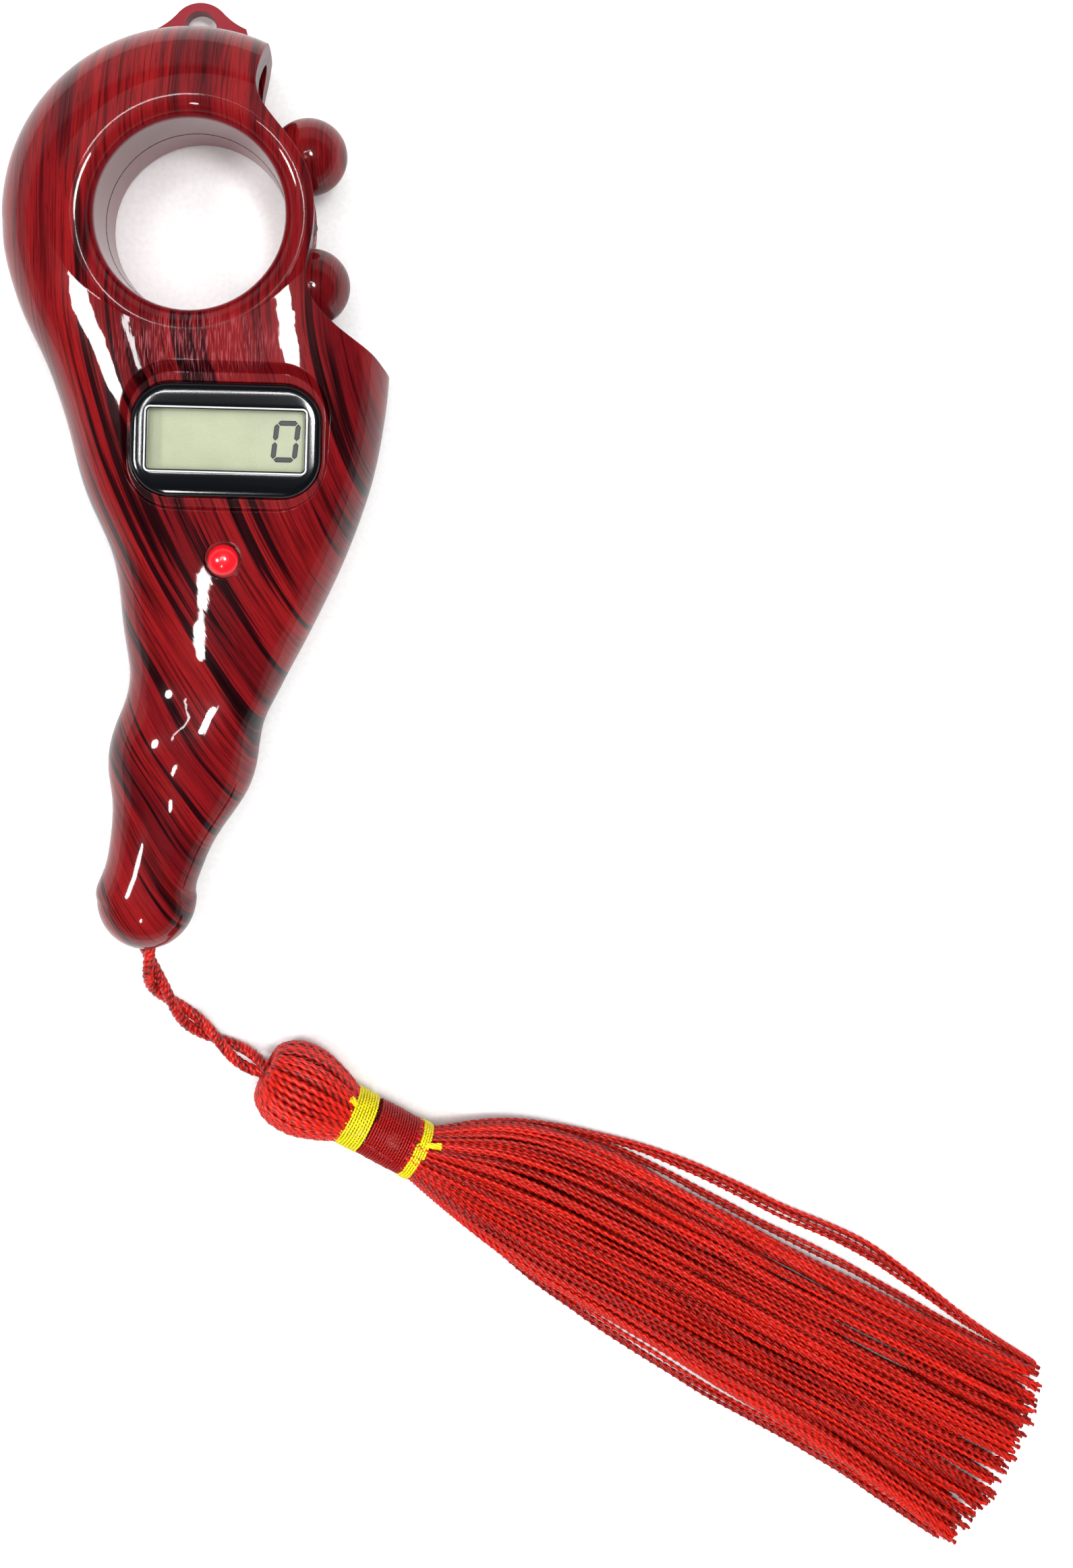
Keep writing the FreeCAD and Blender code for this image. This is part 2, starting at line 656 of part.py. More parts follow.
def build_display_stack():
    """Liquid crystal panel under the window, and the strip that joins it to the board."""
    panel = doc.addObject("Part::Box", "LcdPanel")
    bind(panel, Length="Sizes.lcd_width", Width="Sizes.lcd_height", Height="1.0")
    panel.Placement = Placement(
        DISPLAY + Rotation(Z_AXIS, size("display_turn")).multVec(
            Vector(-size("lcd_width") / 2, -size("lcd_height") / 2, size("lens_seat") - 1.45)
        ),
        Rotation(Z_AXIS, size("display_turn")),
    )
    subpart(panel, "lcd_panel")
    strip = doc.addObject("Part::Box", "ContactStrip")
    tall = size("lens_seat") - 1.5 - size("board_top") - 0.02
    bind(strip, Length="Sizes.lcd_width - 2.4", Width="1.6", Height=str(round(tall, 3)))
    strip.Placement = Placement(
        DISPLAY + Rotation(Z_AXIS, size("display_turn")).multVec(
            Vector(-size("lcd_width") / 2 + 1.2, -size("lcd_height") / 2 + 0.3, size("board_top"))
        ),
        Rotation(Z_AXIS, size("display_turn")),
    )
    subpart(strip, "contact_strip")


BOARD_CORNERS = [
    (-7.6, 7.4), (-7.4, 3.0), (-4.2, -12.8), (10.0, -12.8), (13.4, -6.0), (13.4, 6.8), (4.0, 7.4),
]


def build_board():
    """Board with a locating hole, cut to clear the bosses and the bead tunnel."""
    body = doc.addObject("PartDesign::Body", "CircuitBoard")
    outline = sketch_on(body, "BoardOutline", "XY_Plane")
    closed_profile(outline, BOARD_CORNERS)
    plate = body.newObject("PartDesign::Pad", "BoardPlate")
    plate.Profile = outline
    plate.setExpression("Length", "Sizes.board_thickness")
    doc.recompute()
    holes = sketch_on(body, "BoardHoles", "XY_Plane")
    for x, y in ((-3.2, -11.6), (9.2, -11.8), (-6.4, 5.6)):
        holes.addGeometry(Part.Circle(Vector(x, y, 0), Z_AXIS, 0.75), False)
    drilled = body.newObject("PartDesign::Pocket", "BoardDrilled")
    drilled.Profile = holes
    drilled.Type = "ThroughAll"
    drilled.Midplane = True
    body.Tip = drilled
    doc.recompute()
    assert drilled.Shape.Volume < plate.Shape.Volume - 1, "the holes cut nothing"
    put(body, 0, 0, "Sizes.board_top - Sizes.board_thickness")
    return subpart(body, "circuit_board")


def build_chip_blob():
    """Flattened drop of epoxy over the counter chip, on the back of the board."""
    drop = doc.addObject("Part::Ellipsoid", "BlobDrop")
    drop.Radius1, drop.Radius2, drop.Radius3 = 1.5, 3.6, 3.0
    drop.Angle1, drop.Angle2 = -90, 0
    put(drop, 3.4, -8.4, "Sizes.board_top - Sizes.board_thickness")
    return subpart(drop, "chip_blob")


# ---------------------------------------------------------------- reset button

BUTTON_FLANGE = 2.7
BUTTON_FLANGE_TOP = 16.5
DOME_HEIGHT = 0.5


def build_reset_button():
    """Cap with a domed top, a flange that keeps it in, and a stem down to the snap dome."""
    r, top = size("button_radius"), size("button_top")
    low = size("board_top") + DOME_HEIGHT + 0.06
    crown, step = 0.75, 0.8
    corners = [
        Vector(0, 0, low), Vector(1.1, 0, low), Vector(1.1, 0, BUTTON_FLANGE_TOP - step),
        Vector(BUTTON_FLANGE, 0, BUTTON_FLANGE_TOP - step), Vector(BUTTON_FLANGE, 0, BUTTON_FLANGE_TOP),
        Vector(r, 0, BUTTON_FLANGE_TOP), Vector(r, 0, top - crown),
    ]
    lines = [Part.makeLine(a, b) for a, b in zip(corners, corners[1:])]
    ball = (r ** 2 + crown ** 2) / (2 * crown)
    half = math.asin(r / ball) / 2
    middle = Vector(ball * math.sin(half), 0, top - ball + ball * math.cos(half))
    crown_arc = Part.Arc(Vector(r, 0, top - crown), middle, Vector(0, 0, top)).toShape()
    axis = Part.makeLine(Vector(0, 0, top), Vector(0, 0, low))
    profile = Part.Face(Part.Wire(lines + [crown_arc, axis]))
    item = solid("ResetButton", profile.revolve(Vector(), Z_AXIS, 360))
    item.Placement = Placement(Vector(size("button_x"), size("button_y"), 0), Rotation())
    return subpart(item, "reset_button")


def build_reset_dome():
    """Snap dome on the board, a shallow cap of a sphere."""
    radius = 2.4
    sphere_radius = (radius ** 2 + DOME_HEIGHT ** 2) / (2 * DOME_HEIGHT)
    ball = doc.addObject("Part::Sphere", "DomeBall")
    ball.Radius = sphere_radius
    centre = f"Sizes.board_top + {DOME_HEIGHT} - {sphere_radius}"
    put(ball, "Sizes.button_x", "Sizes.button_y", centre)
    slab = cylinder("DomeSlab", radius + 1, 3, "Sizes.button_x", "Sizes.button_y", "Sizes.board_top")
    return subpart(common("ResetDome", ball, slab), "reset_dome")


# ---------------------------------------------------------------- power

CELL_BASE = 1.95


def build_cell():
    """Button cell: a wide can with a smaller cap on top."""
    can = cylinder("CellCan", "Sizes.cell_radius", 2.3, "Sizes.cell_x", "Sizes.cell_y", CELL_BASE)
    cap = cylinder(
        "CellCap", "Sizes.cell_radius - 0.9", "Sizes.cell_thickness - 2.3", "Sizes.cell_x",
        "Sizes.cell_y", CELL_BASE + 2.3,
    )
    return subpart(fuse("ButtonCell", [can, cap]), "button_cell")


def strip_along(points, thick, width):
    """Bent metal strip: (x, z) points of one side, thickened below or outside it, or above if
    the thickness is negative."""
    path = [Vector(px, 0, pz) for px, pz in points]
    sides = [(b - a).cross(Y_AXIS).normalize() for a, b in zip(path, path[1:])]
    sides = [-side for side in sides]
    sides = [sides[0]] + sides + [sides[-1]]
    other = []
    for point, before, after in zip(path, sides, sides[1:]):
        other.append(point + (before + after) * (thick / (1 + before.dot(after))))
    corners = [point - Y_AXIS * (width / 2) for point in path + other[::-1]]
    face = Part.Face(Part.makePolygon(corners + corners[:1]))
    return face.extrude(Y_AXIS * width)


def build_contacts():
    """Sprung strips from the cell's cap and can up to the back of the board."""
    board_back = size("board_top") - size("board_thickness")
    top = CELL_BASE + size("cell_thickness") + 0.02
    minus = [(-3.4, top + 0.5), (0.6, top), (4.4, top + 2.2), (6.4, board_back - 0.3)]
    item = solid("CellContactMinus", strip_along(minus, -0.22, 2.6))
    item.Placement = Placement(Vector(size("cell_x"), size("cell_y"), 0), Rotation())
    subpart(item, "cell_contact_minus")
    side = size("cell_radius") + 1.45
    plus = [(side, 3.0), (side + 0.1, board_back - 0.3), (side - 1.6, board_back - 0.28)]
    item = solid("CellContactPlus", strip_along(plus, 0.22, 2.6))
    turn = Rotation(Z_AXIS, 180)
    item.Placement = Placement(Vector(size("cell_x"), size("cell_y"), 0), turn)
    subpart(item, "cell_contact_plus")


def build_door():
    """Flat battery door with a countersunk screw hole and a finger groove."""
    body = doc.addObject("PartDesign::Body", "BatteryDoor")
    outline = sketch_on(body, "DoorOutline", "XY_Plane")
    rounded_rectangle(outline, size("door_width"), size("door_length"), 0.8)
    plate = body.newObject("PartDesign::Pad", "DoorPlate")
    plate.Profile = outline
    plate.setExpression("Length", "Sizes.door_thickness")
    doc.recompute()
    hole = sketch_on(body, "DoorHole", "XY_Plane")
    hole.addGeometry(Part.Circle(Vector(0, -7.2, 0), Z_AXIS, 0.95), False)
    through = body.newObject("PartDesign::Pocket", "DoorDrilled")
    through.Profile = hole
    through.Type = "ThroughAll"
    through.Midplane = True
    doc.recompute()
    sink = sketch_on(body, "DoorSink", "XY_Plane")
    sink.addGeometry(Part.Circle(Vector(0, -7.2, 0), Z_AXIS, 1.55), False)
    counterbore = body.newObject("PartDesign::Pocket", "DoorCounterbore")
    counterbore.Profile = sink
    counterbore.Length = 0.8
    counterbore.Reversed = True
    body.Tip = counterbore
    doc.recompute()
    assert counterbore.Shape.Volume < through.Shape.Volume - 1, "the counterbore cuts nothing"
    put(body, "Sizes.cell_x", "Sizes.cell_y - 1.2", 0.02)
    return subpart(body, "battery_door")


def screw_form(head_radius, head_height, shank_radius, length):
    """Cross-head screw with its head down and its shank up."""
    head = Part.makeCylinder(head_radius, head_height)
    shank = Part.makeCylinder(shank_radius, length, Z_AXIS * head_height)
    form = head.fuse(shank)
    for turn in (0, 90):
        slot = Part.makeBox(head_radius * 1.2, 0.35, 0.45, Vector(-head_radius * 0.6, -0.175, -0.01))
        slot.rotate(Vector(), Z_AXIS, turn)
        form = form.cut(slot)
    return form


def build_screws():
    """Door screw, and the four screws that pull the shells together."""
    door = solid("DoorScrew", screw_form(1.45, 0.7, 0.8, 4.0))
    door.Placement = Placement(Vector(size("cell_x"), size("cell_y") - 8.4, 0.05), Rotation())
    subpart(door, "door_screw")
    screws = []
    for x, y in SCREW_PLACES:
        seat = smooth(BACK_HEIGHT, y) + 2.0
        form = screw_form(size("screw_head"), 1.1, size("screw_core"), SEAM + 3.6 - seat)
        screws.append(form.translated(Vector(x, y, seat - 1.13)))
    subpart(solid("CaseScrews", Part.makeCompound(screws)), "case_screws")


# ---------------------------------------------------------------- cord and tassel

CORD_ROUTE = [
    (-5.75, -50.6, 9.2), (-5.8, -56.2, 8.7), (-4.9, -60.6, 5.9), (-2.0, -64.8, 2.9),
    (2.2, -68.3, 1.7), (7.3, -71.2, 3.0), (12.0, -73.0, 4.9),
]


def cord_path(points):
    """Straight runs joined by tangent arcs as large as the runs allow."""
    route = [Vector(*p) for p in points]
    edges, start = [], route[0]
    for before, corner, after in zip(route, route[1:], route[2:]):
        back, ahead = before - corner, after - corner
        share = 0.45 * min(back.Length, ahead.Length)
        turn = math.pi - back.getAngle(ahead)
        radius = share / math.tan(turn / 2)
        print(f"cord arc radius {radius:.1f} mm, turn {math.degrees(turn):.0f} degrees")
        back.normalize()
        ahead.normalize()
        first, last = corner + back * share, corner + ahead * share
        bisector = (back + ahead).normalize()
        centre = corner + bisector * math.hypot(radius, share)
        middle = centre - bisector * radius
        edges += [Part.makeLine(start, first), Part.Arc(first, middle, last).toShape()]
        start = last
    edges.append(Part.makeLine(start, route[-1]))
    return Part.Wire(edges)


def build_cord():
    path = cord_path(CORD_ROUTE)
    direction = Vector(*CORD_ROUTE[1]) - Vector(*CORD_ROUTE[0])
    ring = Part.Wire([Part.makeCircle(size("cord_radius"), Vector(*CORD_ROUTE[0]), direction)])
    tube = path.makePipeShell([ring], True, False)
    expected = math.pi * size("cord_radius") ** 2 * path.Length
    print(f"cord length {path.Length:.1f} mm, volume ratio {tube.Volume / expected:.4f}")
    return subpart(solid("Cord", tube), "cord")


# Along the tassel's axis from the middle of its head.
NECK_START, FIRST_BAND, SECOND_BAND, NECK_END = 5.2, 8.4, 13.9, 15.4
SKIRT_SECTIONS = [
    (15.4, 3.3, 3.3, 4.9), (19.5, 5.6, 3.7, 4.4), (29.0, 8.6, 3.5, 3.8), (46.0, 11.4, 3.1, 3.3),
    (66.0, 12.6, 2.8, 3.0), (96.0, 12.3, 2.4, 2.6),
]
NECK_HEIGHT = 5.0


def tassel_place():
    spin = Rotation(Z_AXIS, size("tassel_turn"))
    return Placement(Vector(size("bulb_x"), size("bulb_y"), 0), spin)


def neck_ring(name, start, end, label):
    tube = Part.makeCylinder(size("wrap_radius"), end - start, Vector(start, 0, NECK_HEIGHT), X_AXIS)
    core = Part.makeCylinder(size("neck_core"), end - start, Vector(start, 0, NECK_HEIGHT), X_AXIS)
    item = solid(name, tube.cut(core))
    item.Placement = tassel_place()
    return subpart(item, label)


def build_tassel():
    """Head, neck windings and skirt, lying on the surface."""
    r = size("bulb_radius")
    high = r
    tip, crown, end = Vector(-r, 0, high), Vector(0, 0, high + r), Vector(NECK_START, 0, high + 3.5)
    round_front = Part.Arc(tip, Vector(-r * math.sqrt(0.5), 0, high + r * math.sqrt(0.5)), crown)
    gathered = Part.Arc(crown, Vector(3.2, 0, high + 0.93 * r), end)
    foot = Vector(NECK_START, 0, high)
    lines = [Part.makeLine(end, foot), Part.makeLine(foot, tip)]
    profile = Part.Face(Part.Wire([round_front.toShape(), gathered.toShape()] + lines))
    head = solid("TasselHead", profile.revolve(tip, X_AXIS, 360))
    head.Placement = tassel_place()
    subpart(head, "tassel_head")
    neck_ring("UpperWrap", NECK_START, FIRST_BAND, "upper_wrap")
    neck_ring("NeckWrap", FIRST_BAND + 0.02, SECOND_BAND - 0.02, "neck_wrap")
    neck_ring("LowerWrap", SECOND_BAND, NECK_END, "lower_wrap")
    wires = []
    for along, wide, high, centre in SKIRT_SECTIONS:
        ellipse = Part.Ellipse()
        ellipse.MajorRadius, ellipse.MinorRadius = wide, min(high, wide - 0.001)
        edge = ellipse.toShape()
        edge.Placement = Placement(
            Vector(along, 0, centre), Rotation(Vector(0, 1, 0), Z_AXIS, X_AXIS, "XYZ")
        )
        wires.append(Part.Wire([edge]))
    flare = Part.makeLoft(wires, True, False)
    core_length = NECK_END + 1 - NECK_START
    core = Part.makeCylinder(
        size("neck_core") - 0.02, core_length, Vector(NECK_START, 0, NECK_HEIGHT), X_AXIS
    )
    skirt = solid("TasselSkirt", flare.fuse(core))
    skirt.Placement = tassel_place()
    subpart(skirt, "tassel_skirt")


# ---------------------------------------------------------------- build, check and write

def check_document():
    """Stop if any object failed or any sub-part's shape is missing or invalid."""
    for item in doc.Objects:
        if "Invalid" in item.State or "Error" in item.State:
            raise RuntimeError(f"{item.Name} failed: {item.State}")
    for item in SUBPARTS:
        if item.Shape.isNull() or not item.Shape.isValid() or not item.Shape.Solids:
            raise RuntimeError(f"{item.Label} has no valid shape")


def main():
    build_front_shell()
    build_rear_shell()
    build_carrier()
    for number in range(1, int(size("bead_count")) + 1):
        build_bead(number)
    build_click_spring()
    build_lens()
    build_display_stack()
    build_board()
    build_chip_blob()
    build_reset_button()
    build_reset_dome()
    build_cell()
    build_contacts()
    build_door()
    build_screws()
    build_cord()
    build_tassel()
    doc.recompute()
    check_document()
    os.makedirs("parts", exist_ok=True)
    for item in SUBPARTS:
        item.Shape.exportStep(f"parts/{item.Label}.step")
        print(f"{item.Label}: {len(item.Shape.Solids)} solid, {item.Shape.Volume:.1f} mm3")


main()
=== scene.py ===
"""Looks of the bead-flicking tally counter: glossy wood-grain shells and beads, a black-bordered
display, and a red cord with a tassel. The camera, the lamps and the floor are given in metres,
and every other length in millimetres."""

import math

import bpy
import numpy as np
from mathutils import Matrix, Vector


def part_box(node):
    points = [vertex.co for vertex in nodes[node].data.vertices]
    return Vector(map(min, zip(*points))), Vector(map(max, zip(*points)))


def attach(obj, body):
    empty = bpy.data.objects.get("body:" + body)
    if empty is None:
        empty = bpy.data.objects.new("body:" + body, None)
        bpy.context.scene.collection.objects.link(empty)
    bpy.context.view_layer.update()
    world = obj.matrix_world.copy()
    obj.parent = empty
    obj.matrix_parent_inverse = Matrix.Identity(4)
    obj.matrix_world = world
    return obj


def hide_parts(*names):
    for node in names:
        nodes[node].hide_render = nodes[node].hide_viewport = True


MM = 0.001

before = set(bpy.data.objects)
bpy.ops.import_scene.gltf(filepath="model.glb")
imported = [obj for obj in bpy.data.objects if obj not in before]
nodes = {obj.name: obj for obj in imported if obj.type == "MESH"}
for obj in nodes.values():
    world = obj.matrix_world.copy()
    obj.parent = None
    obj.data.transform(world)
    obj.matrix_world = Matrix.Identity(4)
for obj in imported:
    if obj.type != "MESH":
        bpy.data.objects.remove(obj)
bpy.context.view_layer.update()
rng = np.random.default_rng(5)


# ---------------------------------------------------------------- camera, light and floor

CAMERA_PLACE = (0.0175, 0.0036, 0.222)
CAMERA_LENS = 42.32
CAMERA_SHIFT = (0.1207, -0.2199)
SENSOR = (24.6, 36.0)


def make_camera():
    """Camera straight above the counter's head, shifted so that the tassel is in the picture."""
    data = bpy.data.cameras.new("Camera")
    data.sensor_fit = "VERTICAL"
    data.sensor_width, data.sensor_height = SENSOR
    data.lens = CAMERA_LENS
    data.shift_x, data.shift_y = CAMERA_SHIFT
    data.clip_start = 0.01
    camera = bpy.data.objects.new("Camera", data)
    camera.location = CAMERA_PLACE
    bpy.context.scene.collection.objects.link(camera)
    bpy.context.scene.camera = camera


def area_light(name, azimuth, tilt, aim, size, power, distance=1.0):
    """Elliptical lamp in a direction given in degrees, tilt being measured down from straight up.
    Its place, size and distance are in metres and its power in watts."""
    data = bpy.data.lights.new(name, "AREA")
    data.shape = "ELLIPSE"
    data.size, data.size_y = size
    data.energy = power
    turn, lean = math.radians(azimuth), math.radians(tilt)
    away = Vector((math.cos(turn) * math.sin(lean), math.sin(turn) * math.sin(lean), math.cos(lean)))
    lamp = bpy.data.objects.new(name, data)
    lamp.location = Vector(aim) + away * distance
    lamp.rotation_euler = away.to_track_quat("Z", "Y").to_euler()
    bpy.context.scene.collection.objects.link(lamp)
    return lamp


MIDDLE_AIM = (0.02, -0.02, 0.0)
HEAD_AIM = (-0.005, 0.02, 0.021)
TAIL_AIM = (0.0, -0.03, 0.015)
RING_AZIMUTHS = range(0, 210, 30)


def make_lights():
    """A big overhead diffuser that doesn't show in gloss, and smaller lamps that do: three that
    light the head and the tail, and half a ring of them for the bright line round the bore."""
    soft = area_light("Diffuser", 60, 8, MIDDLE_AIM, (1.3, 1.3), 15.0, distance=1.2)
    soft.visible_glossy = False
    area_light("LeftLamp", -172, 33, HEAD_AIM, (0.20, 0.17), 4.4)
    area_light("RightLamp", 21, 10, HEAD_AIM, (0.17, 0.13), 3.6)
    area_light("TailLamp", -103, 36, TAIL_AIM, (0.055, 0.14), 1.0)
    for k, azimuth in enumerate(RING_AZIMUTHS):
        area_light(f"RingLamp{k}", azimuth, 13, HEAD_AIM, (0.125, 0.03), 0.33)


# The sky's greys: how high each one lies, from 0 at the horizon to 1 overhead, and its brightness.
SKY_GREYS = ((0.22, 0.80), (0.32, 0.16), (0.60, 0.08))
SKY_STRENGTH = 0.72
SKY_SLOPE = -0.45


def make_world():
    """Sky that is bright near the horizon and dim overhead, so that glossy tops stay deep in
    colour. Its bright part reaches higher towards +Y."""
    world = bpy.data.worlds.new("Studio")
    world.use_nodes = True
    tree = world.node_tree
    coords = tree.nodes.new("ShaderNodeTexCoord")
    split = tree.nodes.new("ShaderNodeSeparateXYZ")
    ramp = tree.nodes.new("ShaderNodeValToRGB")
    stops = ramp.color_ramp.elements
    stops[0].position, stops[0].color = 0.0, (0.95, 0.95, 0.97, 1)
    stops[1].position, stops[1].color = 1.0, (0.05, 0.05, 0.055, 1)
    for place, grey in SKY_GREYS:
        stop = stops.new(place)
        stop.color = (grey, grey, grey * 1.02, 1)
    background = tree.nodes["Background"]
    background.inputs["Strength"].default_value = SKY_STRENGTH
    north = tree.nodes.new("ShaderNodeMath")
    north.operation = "MAXIMUM"
    north.inputs[1].default_value = 0.0
    height = tree.nodes.new("ShaderNodeMath")
    height.operation = "MULTIPLY_ADD"
    height.inputs[1].default_value = SKY_SLOPE
    tree.links.new(coords.outputs["Generated"], split.inputs[0])
    tree.links.new(split.outputs["Y"], north.inputs[0])
    tree.links.new(north.outputs[0], height.inputs[0])
    tree.links.new(split.outputs["Z"], height.inputs[2])
    tree.links.new(height.outputs[0], ramp.inputs[0])
    tree.links.new(ramp.outputs[0], background.inputs["Color"])
    bpy.context.scene.world = world


FLOOR_HALF = 6.0


def make_floor():
    """Square of pale paper under the object, reaching FLOOR_HALF metres each way."""
    low, high = -FLOOR_HALF, FLOOR_HALF
    corners = [(low, low, 0), (high, low, 0), (high, high, 0), (low, high, 0)]
    mesh = bpy.data.meshes.new("Floor")
    mesh.from_pydata(corners, [], [(0, 1, 2, 3)])
    floor = bpy.data.objects.new("Floor", mesh)
    bpy.context.scene.collection.objects.link(floor)
    floor.data.materials.append(make_paper())


# ---------------------------------------------------------------- material helpers

class Paint:
    """A Principled material and the few nodes that its detail is made from."""

    def __init__(self, name, **settings):
        self.material = bpy.data.materials.new(name)
        self.material.use_nodes = True
        self.tree = self.material.node_tree
        self.shader = self.tree.nodes["Principled BSDF"]
        for socket, value in settings.items():
            self.shader.inputs[socket.replace("_", " ")].default_value = value

    def node(self, kind, inputs=(), **settings):
        """New node with its settings and its inputs, each a value or another node's output."""
        item = self.tree.nodes.new("ShaderNode" + kind)
        for name, value in settings.items():
            setattr(item, name, value)
        for socket, value in dict(inputs).items():
            if isinstance(value, bpy.types.NodeSocket):
                self.tree.links.new(value, item.inputs[socket])
            else:
                item.inputs[socket].default_value = value
        return item

    def place(self):
        """Position on the piece in millimetres."""
        coords = self.node("TexCoord")
        scaled = self.node(
            "VectorMath", {0: coords.outputs["Object"], 3: 1 / MM}, operation="SCALE"
        )
        return scaled.outputs[0]

    def maths(self, operation, *values):
        """Result of a Math node; MULTIPLY_ADD takes a value, a factor and what is added."""
        return self.node("Math", enumerate(values), operation=operation).outputs[0]

    def vector(self, x, y, z):
        """Vector put together from three values."""
        return self.node("CombineXYZ", {0: x, 1: y, 2: z}).outputs[0]

    def noise(self, vector, scale, detail=3.0, roughness=0.5):
        """Noise between 0 and 1 in space."""
        inputs = {"Vector": vector, "Scale": scale, "Detail": detail, "Roughness": roughness}
        return self.node("TexNoise", inputs).outputs["Fac"]

    def ramp(self, factor, stops):
        """Colour ramp; each stop is a position and a colour or a grey."""
        item = self.node("ValToRGB", {0: factor})
        elements = item.color_ramp.elements
        while len(elements) < len(stops):
            elements.new(0.5)
        for element, (position, colour) in zip(elements, stops):
            element.position = position
            element.color = (*colour, 1) if hasattr(colour, "__len__") else (colour,) * 3 + (1,)
        return item.outputs[0]

    def mix(self, factor, a, b, blend="MIX"):
        """Colour a where the factor is 0 and b where it is 1, or another blend of the two."""
        item = self.node("Mix", data_type="RGBA", blend_type=blend)
        for index, value in ((0, factor), (6, a), (7, b)):
            if isinstance(value, bpy.types.NodeSocket):
                self.tree.links.new(value, item.inputs[index])
            else:
                item.inputs[index].default_value = value if index == 0 else (*value, 1)
        return item.outputs[2]

    def bump(self, height, distance, strength=1.0, normal=None):
        """Normal of a bumpy surface; distance is in millimetres."""
        inputs = {"Height": height, "Distance": distance * MM, "Strength": strength}
        if normal:
            inputs["Normal"] = normal
        return self.node("Bump", inputs).outputs[0]

    def soft_edges(self, radius):
        """Normal that rounds sharp edges by a radius in millimetres."""
        return self.node("Bevel", {"Radius": radius * MM}, samples=6).outputs[0]

    def feed(self, **sockets):
        """Link outputs to the shader's sockets."""
        for socket, output in sockets.items():
            self.tree.links.new(output, self.shader.inputs[socket.replace("_", " ")])
        return self.material


def make_paper():
    """Pale, faintly mottled paper."""
    paint = Paint("PalePaper", Roughness=0.75)
    grain = paint.noise(paint.place(), 1.6, 4)
    colour = paint.ramp(grain, [(0.3, (0.80, 0.80, 0.80)), (0.7, (0.86, 0.86, 0.86))])
    return paint.feed(Base_Color=colour, Normal=paint.bump(grain, 0.03))


# ---------------------------------------------------------------- wood, plastics and metals

BORE_PLACE = (0.2, 28.3)
BORE_RADIUS = 10.5
BORE_GLOSS = 0.55
SCUFF_PLACE, SCUFF_REACH = (1.0, 13.8), (11.0, 4.2)
SLANT_START, SLANT_BEND = 20.0, 30.0

# A colour ramp runs from 0 to 1; a length scaled by this reaches from 0 to 100 mm on it. The three
# ramps are for the distance from the bore's axis and, twice, for the place along Y.
RAMP_SCALE = 0.01
BORE_EDGE = [(0.1068, 1.0), (0.1082, 0.0)]
LUG_EDGE = [(0.502, 0.0), (0.507, 1.0)]
HEAD_RISE = [(0.10, 0.0), (0.34, 0.55)]

BAND_COLOURS = [
    (0.34, (0.095, 0.003, 0.005)), (0.50, (0.165, 0.005, 0.007)), (0.68, (0.215, 0.007, 0.008)),
]
HANDLE_STROKE, HEAD_STROKE = (0.014, 0.001, 0.002), (0.110, 0.006, 0.009)
SCUFF_COLOUR = (0.42, 0.10, 0.12)
UNPRINTED_RED = (0.21, 0.020, 0.028)


